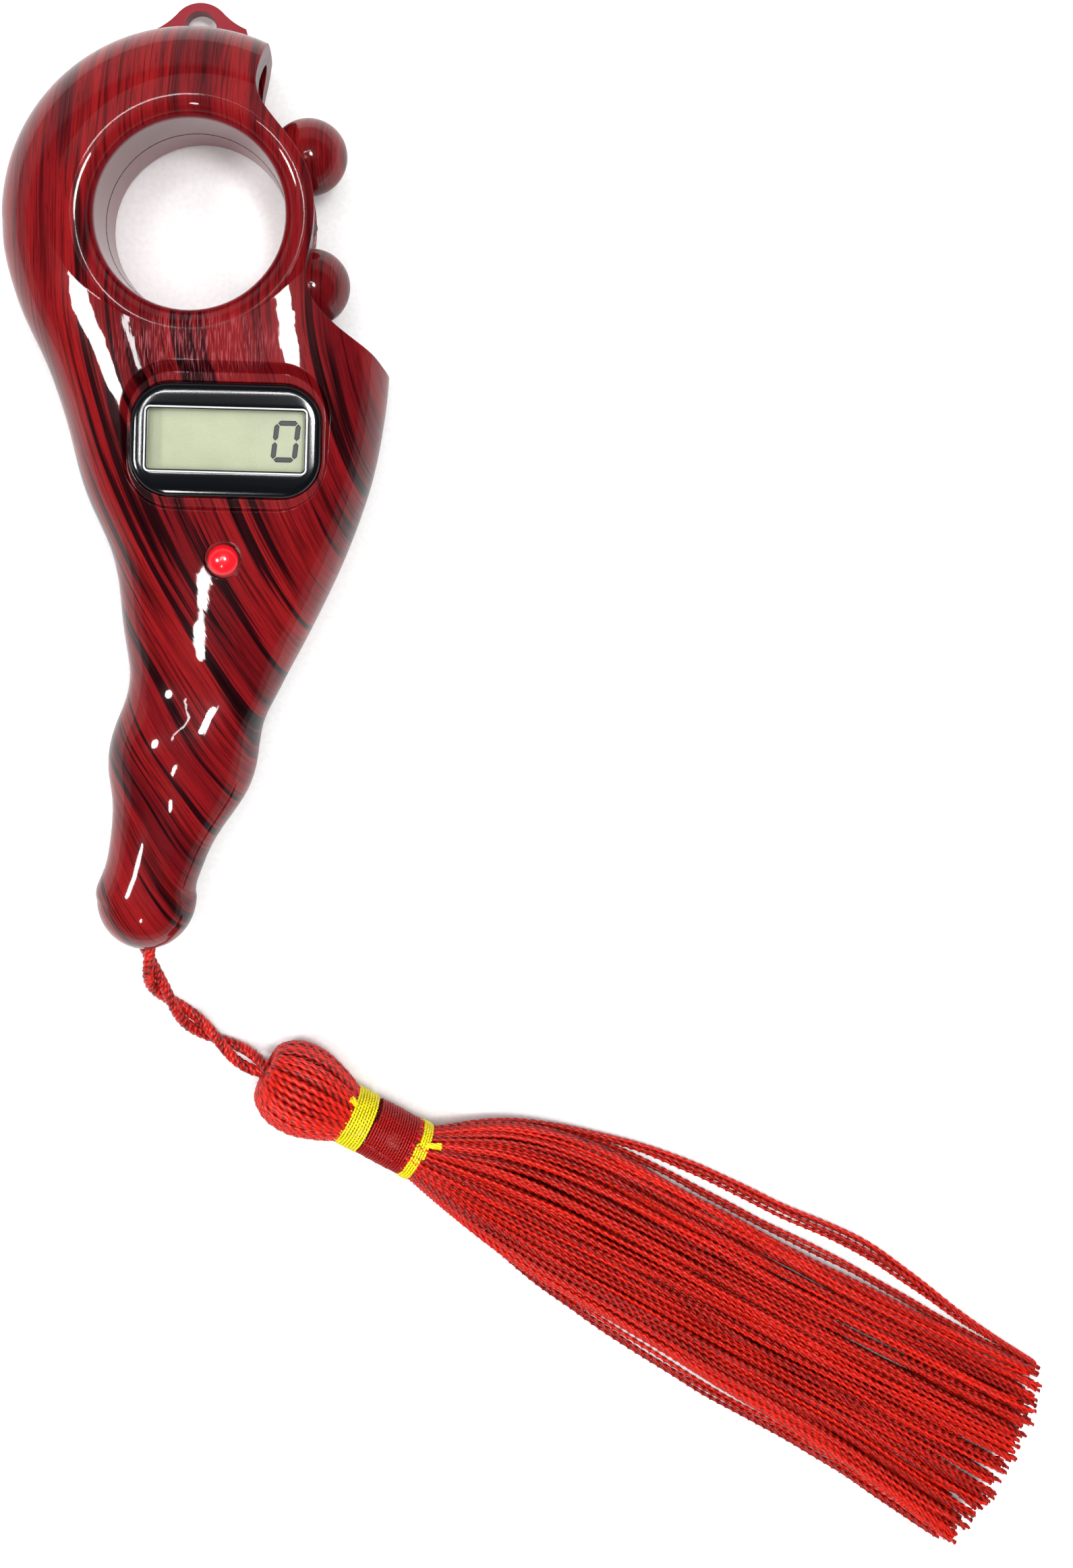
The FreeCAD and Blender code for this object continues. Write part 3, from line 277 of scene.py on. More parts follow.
def make_wood(name, slant, seed, stretch=1.0, plainness=0.0):
    """Glossy printed rosewood. Its streaks run along Y, slant more and more below SLANT_START, and
    are fainter on the head. A greater stretch makes them finer, and a greater plainness fewer. The
    finger bore and the lanyard lug are plain red with less gloss."""
    paint = Paint(name, Roughness=0.30, Coat_Weight=1.0, Coat_Roughness=0.03)
    paint.shader.inputs["Coat IOR"].default_value = 1.34
    paint.shader.inputs["Specular IOR Level"].default_value = 0.03
    split = paint.node("SeparateXYZ", {0: paint.place()})
    x, y, z = split.outputs
    below = paint.maths("MAXIMUM", paint.maths("SUBTRACT", SLANT_START, y), 0.0)
    square = paint.maths("ADD", paint.maths("MULTIPLY", below, below), SLANT_BEND ** 2)
    sweep = paint.maths("SUBTRACT", paint.maths("SQRT", square), SLANT_BEND)
    shift = paint.maths("MULTIPLY", sweep, -slant)
    wobble = paint.noise(paint.vector(seed, paint.maths("MULTIPLY", y, 0.035), 0.0), 1.0, 1)
    drift = paint.maths("MULTIPLY", paint.maths("SUBTRACT", wobble, 0.5), 2.0)
    lean = paint.maths("ADD", paint.maths("ADD", x, shift), paint.maths("MULTIPLY", z, 0.12))
    across = paint.maths("ADD", paint.maths("ADD", lean, drift), seed)

    def streaks(width, length, detail):
        """Noise drawn out along the grain, in streaks of about this width and length."""
        vector = paint.vector(
            paint.maths("MULTIPLY", across, stretch / width),
            paint.maths("MULTIPLY", y, stretch / length), paint.maths("MULTIPLY", z, 1 / length),
        )
        return paint.noise(vector, 1.0, detail, 0.55)

    bands = paint.ramp(streaks(3.2, 70.0, 2), BAND_COLOURS)
    crowd = paint.maths("MULTIPLY", streaks(7.0, 50.0, 1), 0.55)
    on_head = paint.ramp(paint.maths("MULTIPLY", y, RAMP_SCALE), HEAD_RISE)
    level = paint.maths("ADD", streaks(0.95, 38.0, 2), crowd)
    level = paint.maths("MULTIPLY_ADD", on_head, 0.09, paint.maths("ADD", level, plainness))
    between = paint.ramp(level, [(0.67, 0.0), (0.75, 1.0)])
    veins = paint.ramp(streaks(0.45, 18.0, 2), [(0.36, 0.30), (0.47, 1.0)])
    fine = paint.ramp(streaks(0.22, 10.0, 2), [(0.34, 0.6), (0.50, 1.0)])
    pores = paint.ramp(streaks(0.13, 3.0, 2), [(0.32, 0.55), (0.42, 1.0)])
    stroke = paint.mix(on_head, HANDLE_STROKE, HEAD_STROKE)
    shade = paint.mix(between, stroke, bands)
    shade = paint.mix(0.8, shade, veins, "MULTIPLY")
    shade = paint.mix(1.0, shade, fine, "MULTIPLY")
    shade = paint.mix(1.0, shade, pores, "MULTIPLY")
    worn = paint.mix(scuffs(paint, x, y), shade, SCUFF_COLOUR)
    bore = bore_wall(paint, x, y)
    lug = paint.ramp(paint.maths("MULTIPLY", y, RAMP_SCALE), LUG_EDGE)
    unprinted = paint.maths("MAXIMUM", bore, lug)
    colour = paint.mix(unprinted, worn, UNPRINTED_RED)
    facing = paint.node("NewGeometry").outputs["Normal"]
    upward = paint.node("SeparateXYZ", {0: facing}).outputs["Z"]
    printed = paint.maths("SUBTRACT", 1.0, paint.maths("MULTIPLY", unprinted, 0.85))
    shine = paint.maths("MULTIPLY", printed, paint.ramp(upward, [(0.10, 0.10), (0.70, 1.0)]))
    gloss = paint.maths("MAXIMUM", shine, paint.maths("MULTIPLY", bore, BORE_GLOSS))
    edges = paint.soft_edges(0.22)
    ripple = paint.bump(streaks(0.6, 3.0, 2), 0.005, 0.5, edges)
    return paint.feed(Base_Color=colour, Coat_Weight=gloss, Normal=edges, Coat_Normal=ripple)


def scuffs(paint, x, y):
    """Fine pale scratches in an oval between the ring and the display."""
    (x_place, y_place), (x_reach, y_reach) = SCUFF_PLACE, SCUFF_REACH
    aside = paint.maths("MULTIPLY_ADD", x, 1 / x_reach, -x_place / x_reach)
    along = paint.maths("MULTIPLY_ADD", y, 1 / y_reach, -y_place / y_reach)
    wide, tall = paint.maths("POWER", aside, 2), paint.maths("POWER", along, 2)
    inside = paint.ramp(paint.maths("ADD", wide, tall), [(0.25, 0.42), (1.0, 0.0)])
    upright = paint.maths("MULTIPLY", x, 7.5)
    marks = paint.noise(paint.vector(upright, paint.maths("MULTIPLY", y, 0.45), 0.0), 1.0, 3)
    return paint.maths("MULTIPLY", inside, paint.ramp(marks, [(0.52, 0.0), (0.62, 1.0)]))


def bore_wall(paint, x, y):
    """1 on the finger bore's wall and 0 on the casing's other faces."""
    aside = paint.maths("SUBTRACT", x, BORE_PLACE[0])
    along = paint.maths("SUBTRACT", y, BORE_PLACE[1])
    square = paint.maths("ADD", paint.maths("MULTIPLY", aside, aside),
                         paint.maths("MULTIPLY", along, along))
    far = paint.maths("MULTIPLY", paint.maths("SQRT", square), RAMP_SCALE)
    return paint.ramp(far, BORE_EDGE)


def make_gloss_plastic(name, colour, roughness=0.25, coat=0.6, grain=0.05):
    """Moulded plastic with a slight unevenness and softened edges."""
    paint = Paint(name, Roughness=roughness, Coat_Weight=coat, Coat_Roughness=0.08)
    cloud = paint.noise(paint.place(), 0.35, 3)
    low = tuple(c * (1 - 2 * grain) for c in colour)
    high = tuple(min(1, c * (1 + 2 * grain)) for c in colour)
    shade = paint.ramp(cloud, [(0.3, low), (0.7, high)])
    pebble = paint.noise(paint.place(), 6.0, 2)
    normal = paint.bump(pebble, 0.004, 0.4, paint.soft_edges(0.15))
    return paint.feed(Base_Color=shade, Normal=normal)


def make_metal(name, colour, roughness, brush):
    """Metal with fine marks stretched by brush along X."""
    paint = Paint(name, Metallic=1.0)
    split = paint.node("SeparateXYZ", {0: paint.place()})
    x, y, z = split.outputs
    marks = paint.noise(paint.vector(paint.maths("DIVIDE", x, brush), y, z), 7.0, 3)
    rough = paint.ramp(marks, [(0.3, roughness * 0.7), (0.7, roughness * 1.4)])
    shade = paint.ramp(marks, [(0.3, tuple(c * 0.8 for c in colour)), (0.7, colour)])
    normal = paint.bump(marks, 0.003, 0.6, paint.soft_edges(0.08))
    return paint.feed(Base_Color=shade, Roughness=rough, Normal=normal)


def make_lcd():
    """Grey-green liquid crystal, faintly clouded and speckled."""
    paint = Paint("LcdGreen", Roughness=0.28, Coat_Weight=0.7, Coat_Roughness=0.03)
    cloud = paint.noise(paint.place(), 0.25, 2)
    mottle = paint.noise(paint.place(), 5.0, 2)
    base = paint.ramp(cloud, [(0.3, (0.285, 0.320, 0.195)), (0.7, (0.320, 0.355, 0.220))])
    speck = paint.ramp(mottle, [(0.3, 0.94), (0.6, 1.0)])
    return paint.feed(Base_Color=paint.mix(1.0, base, speck, "MULTIPLY"))


def make_thread(name, dark, bright, sheen):
    """Silky thread with painted shade in the grooves between its plies and lighter colour painted on
    their tops; its tone differs a little from thread to thread.
    """
    paint = Paint(name, Roughness=0.36, Sheen_Weight=0.03, Sheen_Roughness=0.35)
    paint.shader.inputs["Sheen Tint"].default_value = (*sheen, 1)
    paint.shader.inputs["Specular IOR Level"].default_value = 0.35
    island = paint.node("NewGeometry").outputs["Random Per Island"]
    lint = paint.noise(paint.place(), 1.6, 3)
    # Painted shade and light across the plies: the attribute is 1 on the ply tops, which get the
    # light colour, and 0 in the grooves, which get the dark, shaded colour.
    ply_top_light = paint.node("Attribute", attribute_name="ply_top_light").outputs["Fac"]
    factor = paint.maths("MULTIPLY", island, 0.28)
    factor = paint.maths("MULTIPLY_ADD", lint, 0.30, factor)
    factor = paint.maths("MULTIPLY_ADD", ply_top_light, 0.42, factor)
    colour = paint.ramp(factor, [(0.26, dark), (0.82, bright)])
    fibres = paint.noise(paint.place(), 9.0, 2)
    return paint.feed(Base_Color=colour, Normal=paint.bump(fibres, 0.012, 0.5))


# ---------------------------------------------------------------- mesh helpers

UP = [0.0, 0.0, 1.0]

# Random turns are drawn between 0 and this many radians.
ANY_TURN = 6.28


def mesh_piece(name, points, faces, material, body="casing"):
    """Object from points in millimetres, smooth-shaded, riding on a body."""
    mesh = bpy.data.meshes.new(name)
    mesh.from_pydata((np.asarray(points) * MM).tolist(), [], faces)
    mesh.shade_smooth()
    mesh.validate()
    piece = bpy.data.objects.new(name, mesh)
    bpy.context.scene.collection.objects.link(piece)
    mesh.materials.append(material)
    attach(piece, body)
    return piece


def unit(vectors):
    """The same directions with length 1."""
    return vectors / np.maximum(np.linalg.norm(vectors, axis=-1, keepdims=True), 1e-9)


def travelled(path):
    """Distance along a path at each of its points, starting from 0."""
    return np.concatenate([[0], np.cumsum(np.linalg.norm(np.diff(path, axis=0), axis=1))])


def cross_axes(path, outward):
    """Two unit directions across a path, one sideways and one near to outward."""
    tangent = unit(np.gradient(path, axis=0))
    side = unit(np.cross(outward, tangent))
    return side, np.cross(tangent, side)


def thread_form(path, outward, radius, pitch, sides, waist, phase):
    """Ring points of a two-ply thread along a path. Its section reaches radius out at the plies
    and waist times that between them; outward keeps it from rolling."""
    side, up = cross_axes(path, outward)
    along = travelled(path)
    theta = np.arange(sides) * 2 * math.pi / sides
    reach = radius * (waist + (1 - waist) * np.cos(theta) ** 2)
    turn = phase + 2 * math.pi * along[:, None] / pitch + theta[None]
    offset = np.cos(turn)[..., None] * side[:, None] + np.sin(turn)[..., None] * up[:, None]
    return (path[:, None] + reach[None, :, None] * offset).reshape(-1, 3)


def thread_faces(rings, sides, start):
    """Faces between rings of points, closed at both ends."""
    faces = []
    for k in range(rings - 1):
        low, high = start + k * sides, start + (k + 1) * sides
        for j in range(sides):
            n = (j + 1) % sides
            faces.append((low + j, low + n, high + n, high + j))
    faces.append(tuple(range(start + sides - 1, start - 1, -1)))
    last = start + (rings - 1) * sides
    faces.append(tuple(range(last, last + sides)))
    return faces


def threads_piece(name, paths, radius, pitch, material, waist, sides=6):
    """One piece made of many threads; each path is (points, outward directions). The attribute
    ridge is 1 along the tops of the plies and 0 between them."""
    points, faces, count = [], [], 0
    for path, outward in paths:
        form = thread_form(path, outward, radius, pitch, sides, waist, rng.uniform(0, ANY_TURN))
        points.append(form)
        faces += thread_faces(len(path), sides, count)
        count += len(form)
    piece = mesh_piece(name, np.concatenate(points), faces, material)
    # Marks the ply tops for the thread material, which paints shade into the grooves between the
    # plies and lighter colour onto their tops.
    ply_top_light = np.cos(np.arange(sides) * 2 * math.pi / sides) ** 2
    layer = piece.data.attributes.new("ply_top_light", "FLOAT", "POINT")
    layer.data.foreach_set("value", np.tile(ply_top_light, count // sides))
    return piece


def through(stations, at):
    """Smooth curve through (place, value) stations, read at many places."""
    places = np.array([p for p, _ in stations], float)
    values = np.array([v for _, v in stations], float)
    slopes = np.gradient(values, places)
    k = np.clip(np.searchsorted(places, at) - 1, 0, len(places) - 2)
    span = places[k + 1] - places[k]
    u = np.clip((at - places[k]) / span, 0, 1)
    h00, h10 = 2 * u ** 3 - 3 * u ** 2 + 1, u ** 3 - 2 * u ** 2 + u
    h01, h11 = 3 * u ** 2 - 2 * u ** 3, u ** 3 - u ** 2
    return (h00 * values[k] + h10 * span * slopes[k] + h01 * values[k + 1]
            + h11 * span * slopes[k + 1])


def wander(at, wave, size):
    """Slow random drift along a thread."""
    total = np.zeros_like(at)
    for share in (1.0, 0.5, 0.3):
        total += share * np.sin(at / (wave * share) * 2 * math.pi + rng.uniform(0, ANY_TURN))
    return size * total / 1.8


# ---------------------------------------------------------------- cord

# Control points of the line that the cord follows, from inside the tail to inside the tassel.
CORD_ROUTE = [
    (-5.75, -50.6, 9.2), (-5.8, -56.2, 8.7), (-4.9, -60.6, 5.9), (-2.0, -64.8, 2.9),
    (2.2, -68.3, 1.7), (7.3, -71.2, 3.0), (12.0, -73.0, 4.9),
]
CORD_PITCH = 16.0
CORD_PHASE = 2.2
CORD_STEP = 0.16

# How far the strands lie from the cord's middle, at shares of its length.
CORD_SPREAD = [(0.0, 0.62), (0.25, 0.64), (0.6, 0.70), (0.85, 0.80), (1.0, 0.45)]
YARNS, YARN_REACH, YARN_PITCH = 4, 0.33, 5.2


def cord_centre():
    """Points along the smooth line that the cord follows."""
    data = bpy.data.curves.new("CordRoute", "CURVE")
    data.dimensions = "3D"
    data.resolution_u = 24
    spline = data.splines.new("NURBS")
    spline.points.add(len(CORD_ROUTE) - 1)
    for point, place in zip(spline.points, CORD_ROUTE):
        point.co = (*(c * MM for c in place), 1)
    spline.order_u = 3
    spline.use_endpoint_u = True
    guide = bpy.data.objects.new("CordRoute", data)
    line = bpy.data.meshes.new_from_object(guide)
    points = np.array([v.co for v in line.vertices]) / MM
    bpy.data.objects.remove(guide)
    return points


def evenly(points, step):
    """The same line with points an even step apart."""
    along = travelled(points)
    places = np.linspace(0, along[-1], int(along[-1] / step) + 1)
    return np.stack([np.interp(places, along, points[:, k]) for k in range(3)], axis=1), places


def around(path, outward, radius, pitch, phase):
    """Path that winds round another one, and its outward directions."""
    side, up = cross_axes(path, outward)
    turn = phase + 2 * math.pi * travelled(path) / pitch
    away = np.cos(turn)[:, None] * side + np.sin(turn)[:, None] * up
    reach = np.broadcast_to(np.asarray(radius, float), turn.shape)
    return path + reach[:, None] * away, away


def make_cord(material):
    """Two strands of four yarns, laid round each other and opening a little near the tassel."""
    line, places = evenly(cord_centre(), CORD_STEP)
    upright = np.tile(UP, (len(line), 1))
    length = places[-1]
    spread = through([(length * share, reach) for share, reach in CORD_SPREAD], places)
    yarns = []
    for strand in range(2):
        path, away = around(line, upright, spread, CORD_PITCH, CORD_PHASE + strand * math.pi)
        for yarn in range(YARNS):
            yarns.append(around(path, away, YARN_REACH, YARN_PITCH, yarn * math.pi / 2))
    piece = threads_piece(
        "cord_strands", yarns, 0.38, 1.7, material, waist=0.8, sides=8
    )
    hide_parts("cord")


# ---------------------------------------------------------------- tassel

TASSEL_ORIGIN = np.array([12.5, -73.1, 0.0])
TASSEL_TURN = math.radians(-28.0)
THREAD = 0.30
THREAD_PITCH = 2.1
NECK_HEIGHT = 5.0
BULB_HEIGHT = NECK_HEIGHT + 0.1

# Where the three windings begin and end along the tassel, and their radius and thread's radius.
NECK_START, FIRST_BAND, SECOND_BAND, NECK_END = 5.2, 8.4, 13.9, 15.4
YELLOW_RADIUS, YELLOW_THREAD = 3.30, 0.21
RED_RADIUS, RED_THREAD = 3.22, 0.19


def tassel_frame(points):
    """Points along, across and above the tassel's axis, put in the object's frame."""
    c, s = math.cos(TASSEL_TURN), math.sin(TASSEL_TURN)
    along, across, high = points[..., 0], points[..., 1], points[..., 2]
    turned = np.stack([c * along - s * across, s * along + c * across, high], axis=-1)
    return turned + TASSEL_ORIGIN


def tassel_direction(vectors):
    """Directions along, across and above the tassel's axis, put in the object's frame."""
    return tassel_frame(vectors) - TASSEL_ORIGIN


# Radius of the bulb, and place along the tassel, at shares of a thread's way over it.
BULB_PROFILE = [
    (0.0, 0.25), (0.08, 0.9), (0.20, 2.7), (0.40, 4.75), (0.60, 5.15), (0.80, 4.3), (1.0, 3.2),
]
BULB_ALONG = [
    (0.0, -3.0), (0.08, -4.2), (0.20, -4.9), (0.40, -3.0), (0.60, 0.1), (0.80, 3.2), (1.0, 5.6),
]


BULB_LOWEST = 0.45


def bulb_thread(angle, lift, drift):
    """Thread over the bulb from the cord's dimple to the neck. Lift scales its radius, and drift
    turns its middle about the axis."""
    t = np.linspace(0, 1, 76)
    radius = through(BULB_PROFILE, t) * lift
    along = through(BULB_ALONG, t)
    turn = angle + drift * np.sin(t * math.pi)
    high = np.maximum(BULB_HEIGHT + radius * np.sin(turn), BULB_LOWEST)
    path = np.stack([along, radius * np.cos(turn), high], axis=1)
    tangent = unit(np.gradient(path, axis=0))
    radial = np.stack([np.zeros_like(t), np.cos(turn), np.sin(turn)], axis=1)
    sideways = unit(np.cross(tangent, radial + [1e-3, 0, 0]))
    outward = unit(np.cross(sideways, tangent))
    return tassel_frame(path), tassel_direction(outward)


def make_bulb(material):
    """Head of folded threads, in two layers over a smooth core that shows between them in the dark
    colour of painted shade.
    """
    outer, inner = 42, 34
    paths = [
        bulb_thread(2 * math.pi * (k + rng.uniform(-0.12, 0.12)) / outer,
                    0.945 + rng.uniform(-0.012, 0.012), rng.uniform(-0.05, 0.05))
        for k in range(outer)
    ]
    paths += [bulb_thread(2 * math.pi * k / inner, 0.83, 0.0) for k in range(inner)]
    head = threads_piece(
        "tassel_head_threads", paths, 0.40, 2.4, material, waist=0.72, sides=8
    )
    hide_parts("tassel_head")
    turns, steps = 48, 40
    t = np.linspace(0.02, 1, steps)
    radius, along = through(BULB_PROFILE, t) * 0.84, through(BULB_ALONG, t) * 0.95
    angle = np.arange(turns) * 2 * math.pi / turns
    ring = np.stack([
        np.repeat(along, turns), np.outer(radius, np.cos(angle)).ravel(),
        BULB_HEIGHT + np.outer(radius, np.sin(angle)).ravel(),
    ], axis=1)
    faces = thread_faces(steps, turns, 0)
    # Without the ply attribute the core takes the thread material's dark colour: painted shade in
    # the gaps between the bulb's threads.
    mesh_piece("tassel_head_core", tassel_frame(ring), faces, material)


def make_winding(name, node, start, end, radius, gauge, material):
    """Thread of radius gauge, wound side by side round the neck from start to end."""
    turns = (end - start) / (gauge * 1.75)
    t = np.linspace(0, 1, int(turns * 56))
    turn = t * turns * 2 * math.pi + 1.0
    bulge = radius + 0.05 * np.sin(t * math.pi) + wander(t, 0.23, 0.035)
    along = start + 0.6 * gauge + (end - start - 1.2 * gauge) * t + 0.10 * np.sin(turn + 0.6)
    path = np.stack([along, bulge * np.cos(turn), NECK_HEIGHT + bulge * np.sin(turn)], axis=1)
    away = np.stack([np.zeros_like(t), np.cos(turn), np.sin(turn)], axis=1)
    paths = [(tassel_frame(path), tassel_direction(away))]
    piece = threads_piece(name, paths, gauge, 0.9, material, waist=0.85)
    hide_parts(node)


def make_thread_end(name, places, material):
    """Short cut end of the yellow winding thread, fraying at its tip; places are along, across
    and high."""
    t = np.linspace(0, 1, 24)
    shares = np.linspace(0, 1, len(places))
    path = np.stack([through(list(zip(shares, values)), t) for values in zip(*places)], axis=1)
    away = np.tile(UP, (len(path), 1))
    reach = 0.18 + 0.12 * t ** 2
    fibres = [around(tassel_frame(path), away, reach, 4.0, k * 1.26) for k in range(5)]
    threads_piece(name, fibres, 0.17, 1.0, material, waist=0.8)


# The skirt at places along the tassel: how far it reaches to its upper and lower side in the
# photo, half its thickness, the height of its middle, and how far the loosest threads bow out.
UPPER_EDGE = [
    (15.4, 3.1), (19.0, 5.3), (22.5, 7.3), (27.8, 9.1), (33.3, 10.0), (39.7, 10.2), (48.0, 10.0),
    (68.0, 9.9), (96.0, 10.7),
]
LOWER_EDGE = [
    (15.4, 3.1), (20.0, 4.4), (31.0, 6.7), (45.0, 7.6), (58.0, 8.6), (72.0, 9.3), (96.0, 12.8),
]
SKIRT_HALF_HEIGHT = [(15.4, 3.1), (20.0, 3.4), (29.0, 3.2), (46.0, 2.7), (66.0, 2.3), (96.0, 1.9)]
SKIRT_MIDDLE = [(15.4, 4.95), (20.0, 4.4), (29.0, 3.75), (46.0, 3.2), (66.0, 2.8), (96.0, 2.3)]
UPPER_STRAY = [
    (15.4, 2.9), (22.0, 6.9), (33.0, 10.6), (40.0, 12.0), (47.0, 13.0), (57.0, 13.5), (68.0, 14.2),
    (85.0, 11.8), (96.0, 10.6),
]
LOWER_STRAY = [
    (15.4, 2.9), (22.0, 4.9), (33.0, 7.9), (46.0, 10.0), (58.0, 10.9), (72.0, 11.2), (96.0, 13.3),
]
SKIRT_END, SKIRT_CUT = 96.0, 95.4
CLUMPS = 7.3
SHOWN_STEP, SHOWN_SHIFT, SHOWN_WAIST = 0.27, 0.1, 0.55
HIDDEN_STEP, HIDDEN_SHIFT, HIDDEN_WAIST, HIDDEN_PITCH = 0.9, 0.35, 0.9, 6.0
LOWEST = THREAD + 0.05

# Layers of the skirt: name, number of threads, height from -1 to 1, and whether it shows.
SKIRT_LAYERS = [
    ("top", 44, 0.95, True), ("second", 42, 0.66, True), ("third", 36, 0.30, False),
    ("fourth", 34, -0.15, False), ("bottom", 34, -0.62, False),
]

# Loose threads: a share of the widest bow, and the height at which each one lies.
UPPER_STRAYS = [
    (1.0, 1.0), (0.93, 0.7), (0.86, 1.3), (0.78, 0.6), (0.70, 1.1), (0.30, 0.9), (0.22, 1.5),
]
LOWER_STRAYS = [(1.0, 0.6), (0.8, 1.0), (0.66, 0.6), (0.3, 0.9)]

# Threads that cross on top: the place of each one's middle, and how far it goes across.
CROSSING = [(-0.1, -0.55), (0.25, -0.45), (0.55, 0.3), (-0.5, 0.25), (0.0, 0.3), (0.35, -0.2)]
CROSSING_LEVEL = 1.07


def thread_end(share):
    """Where a thread is cut: a gentle bow across the skirt, with ragged ends."""
    return SKIRT_CUT - 1.4 * share ** 2 - abs(rng.normal(0, 1.0))


def skirt_thread(share, level, cross=0.0, shown=True):
    """One skirt thread: share is its place across from -1 to 1, level its place in height, and
    cross how far it goes across. Threads draw together in clumps; hidden ones have fewer rings."""
    step, shift = (SHOWN_STEP, SHOWN_SHIFT) if shown else (HIDDEN_STEP, HIDDEN_SHIFT)
    end = thread_end(share)
    s = np.arange(NECK_END - 2.0, end, step)
    spread = np.clip((s - NECK_END) / 14.0, 0, 1)
    clump = (math.floor(share * CLUMPS + shift) + 0.5 - shift) / CLUMPS
    aside = share - clump
    place = share + cross * (s / SKIRT_END - 0.5) + wander(s, 55.0, 0.030) * spread
    place = place - aside * 0.38 * spread * (0.4 + 0.6 * s / SKIRT_END)
    limit = np.clip(place, -0.99, 0.99)
    edge = np.where(limit > 0, through(UPPER_EDGE, s), through(LOWER_EDGE, s))
    crown = np.sqrt(1 - limit ** 2)
    dip = 0.30 * (2 * abs(aside) * CLUMPS) ** 2
    height = (level - dip * spread) * crown + wander(s, 38.0, 0.05) * spread
    z = through(SKIRT_MIDDLE, s) + through(SKIRT_HALF_HEIGHT, s) * height
    curl = np.clip((s - end + 6.0) / 6.0, 0, 1) ** 2
    across = place * edge + curl * rng.normal(0, 0.25)
    path = np.stack([s, across, np.maximum(z - curl * rng.uniform(0, 0.5), LOWEST)], axis=1)
    return tassel_frame(path), np.tile(UP, (len(path), 1))


def stray_thread(stations, sign, share, low):
    """Loose thread that bows out from a long side, by a share of what the stations say, and sinks
    to a low height above the surface."""
    end = thread_end(sign * 0.95)
    s = np.arange(NECK_END - 1.5, end, SHOWN_STEP)
    edge = through(UPPER_EDGE if sign > 0 else LOWER_EDGE, s) - 0.5
    across = edge + (through(stations, s) - edge) * share + wander(s, 26.0, 0.10)
    fall = np.clip((s - NECK_END) / 26.0, 0, 1) ** 0.7
    z = through(SKIRT_MIDDLE, s) * (1 - fall) + low * fall
    path = np.stack([s, sign * across, np.maximum(z, LOWEST)], axis=1)
    return tassel_frame(path), np.tile(UP, (len(path), 1))


def make_skirt(material):
    """Layers of threads, loose strays along both sides, and a few that cross on top."""
    for name, count, level, shown in SKIRT_LAYERS:
        shares = np.linspace(-0.97, 0.97, count) + rng.normal(0, 0.012, count)
        paths = [
            skirt_thread(share, level + rng.normal(0, 0.05), shown=shown) for share in shares
        ]
        pitch, waist = (THREAD_PITCH, SHOWN_WAIST) if shown else (HIDDEN_PITCH, HIDDEN_WAIST)
        threads_piece(
            f"skirt_{name}_threads", paths, THREAD, pitch, material, waist=waist
        )
    loose = [stray_thread(UPPER_STRAY, 1, share, low) for share, low in UPPER_STRAYS]
    loose += [stray_thread(LOWER_STRAY, -1, share, low) for share, low in LOWER_STRAYS]
    loose += [skirt_thread(share, CROSSING_LEVEL, cross) for share, cross in CROSSING]
    threads_piece(
        "skirt_loose_threads", loose, THREAD, THREAD_PITCH, material,
        waist=SHOWN_WAIST,
    )
    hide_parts("tassel_skirt")


def make_tassel(red, wound_red, yellow):
    """Bulb, neck with its three windings and two cut thread ends, and skirt."""
    make_bulb(red)
    make_winding(
        "upper_winding", "upper_wrap", NECK_START, FIRST_BAND, YELLOW_RADIUS, YELLOW_THREAD,
        yellow,
    )
    make_winding(
        "neck_winding", "neck_wrap", FIRST_BAND, SECOND_BAND, RED_RADIUS, RED_THREAD,
        wound_red,
    )
    make_winding(
        "lower_winding", "lower_wrap", SECOND_BAND, NECK_END, YELLOW_RADIUS, YELLOW_THREAD,
        yellow,
    )
    lower_end = [(15.0, 1.9, 7.7), (15.8, 2.2, 7.75), (16.7, 2.5, 7.5)]
    upper_end = [(5.7, 2.2, 7.7), (5.2, 2.5, 7.9), (4.8, 2.7, 8.0)]
    make_thread_end("lower_thread_end", lower_end, yellow)
    make_thread_end("upper_thread_end", upper_end, yellow)
    make_skirt(red)


# ---------------------------------------------------------------- display

DISPLAY_PLACE = (4.2, 3.5)
DISPLAY_TURN = math.radians(-1.5)
LENS_SIZE, LENS_CORNER = (20.9, 12.6), 4.4
OPENING_SIZE, OPENING_CORNER = (17.3, 6.7), 0.45
LENS_SEAT, LENS_TOP = (corner[2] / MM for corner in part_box("display_lens"))
LCD_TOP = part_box("lcd_panel")[1][2] / MM
LINE_OUTER, LINE_OUTER_CORNER = (17.86, 7.26), 0.6
LINE_INNER, LINE_INNER_CORNER = (17.5, 6.9), 0.5
LINE_RISE, LINE_THICKNESS = 0.012, 0.05
DIGIT_PLACE = 6.5
DIGIT_WIDTH, DIGIT_HEIGHT, DIGIT_LEAN = 2.35, 4.05, 0.10
BAR_THICKNESS, BAR_GAP = 0.56, 0.08


def at_display(points):
    """Points in the display's own frame, put in the object's frame."""
    c, s = math.cos(DISPLAY_TURN), math.sin(DISPLAY_TURN)
    points = np.asarray(points, float)
    x, y, z = points[..., 0], points[..., 1], points[..., 2]
    return np.stack([
        c * x - s * y + DISPLAY_PLACE[0], s * x + c * y + DISPLAY_PLACE[1], z
    ], axis=-1)


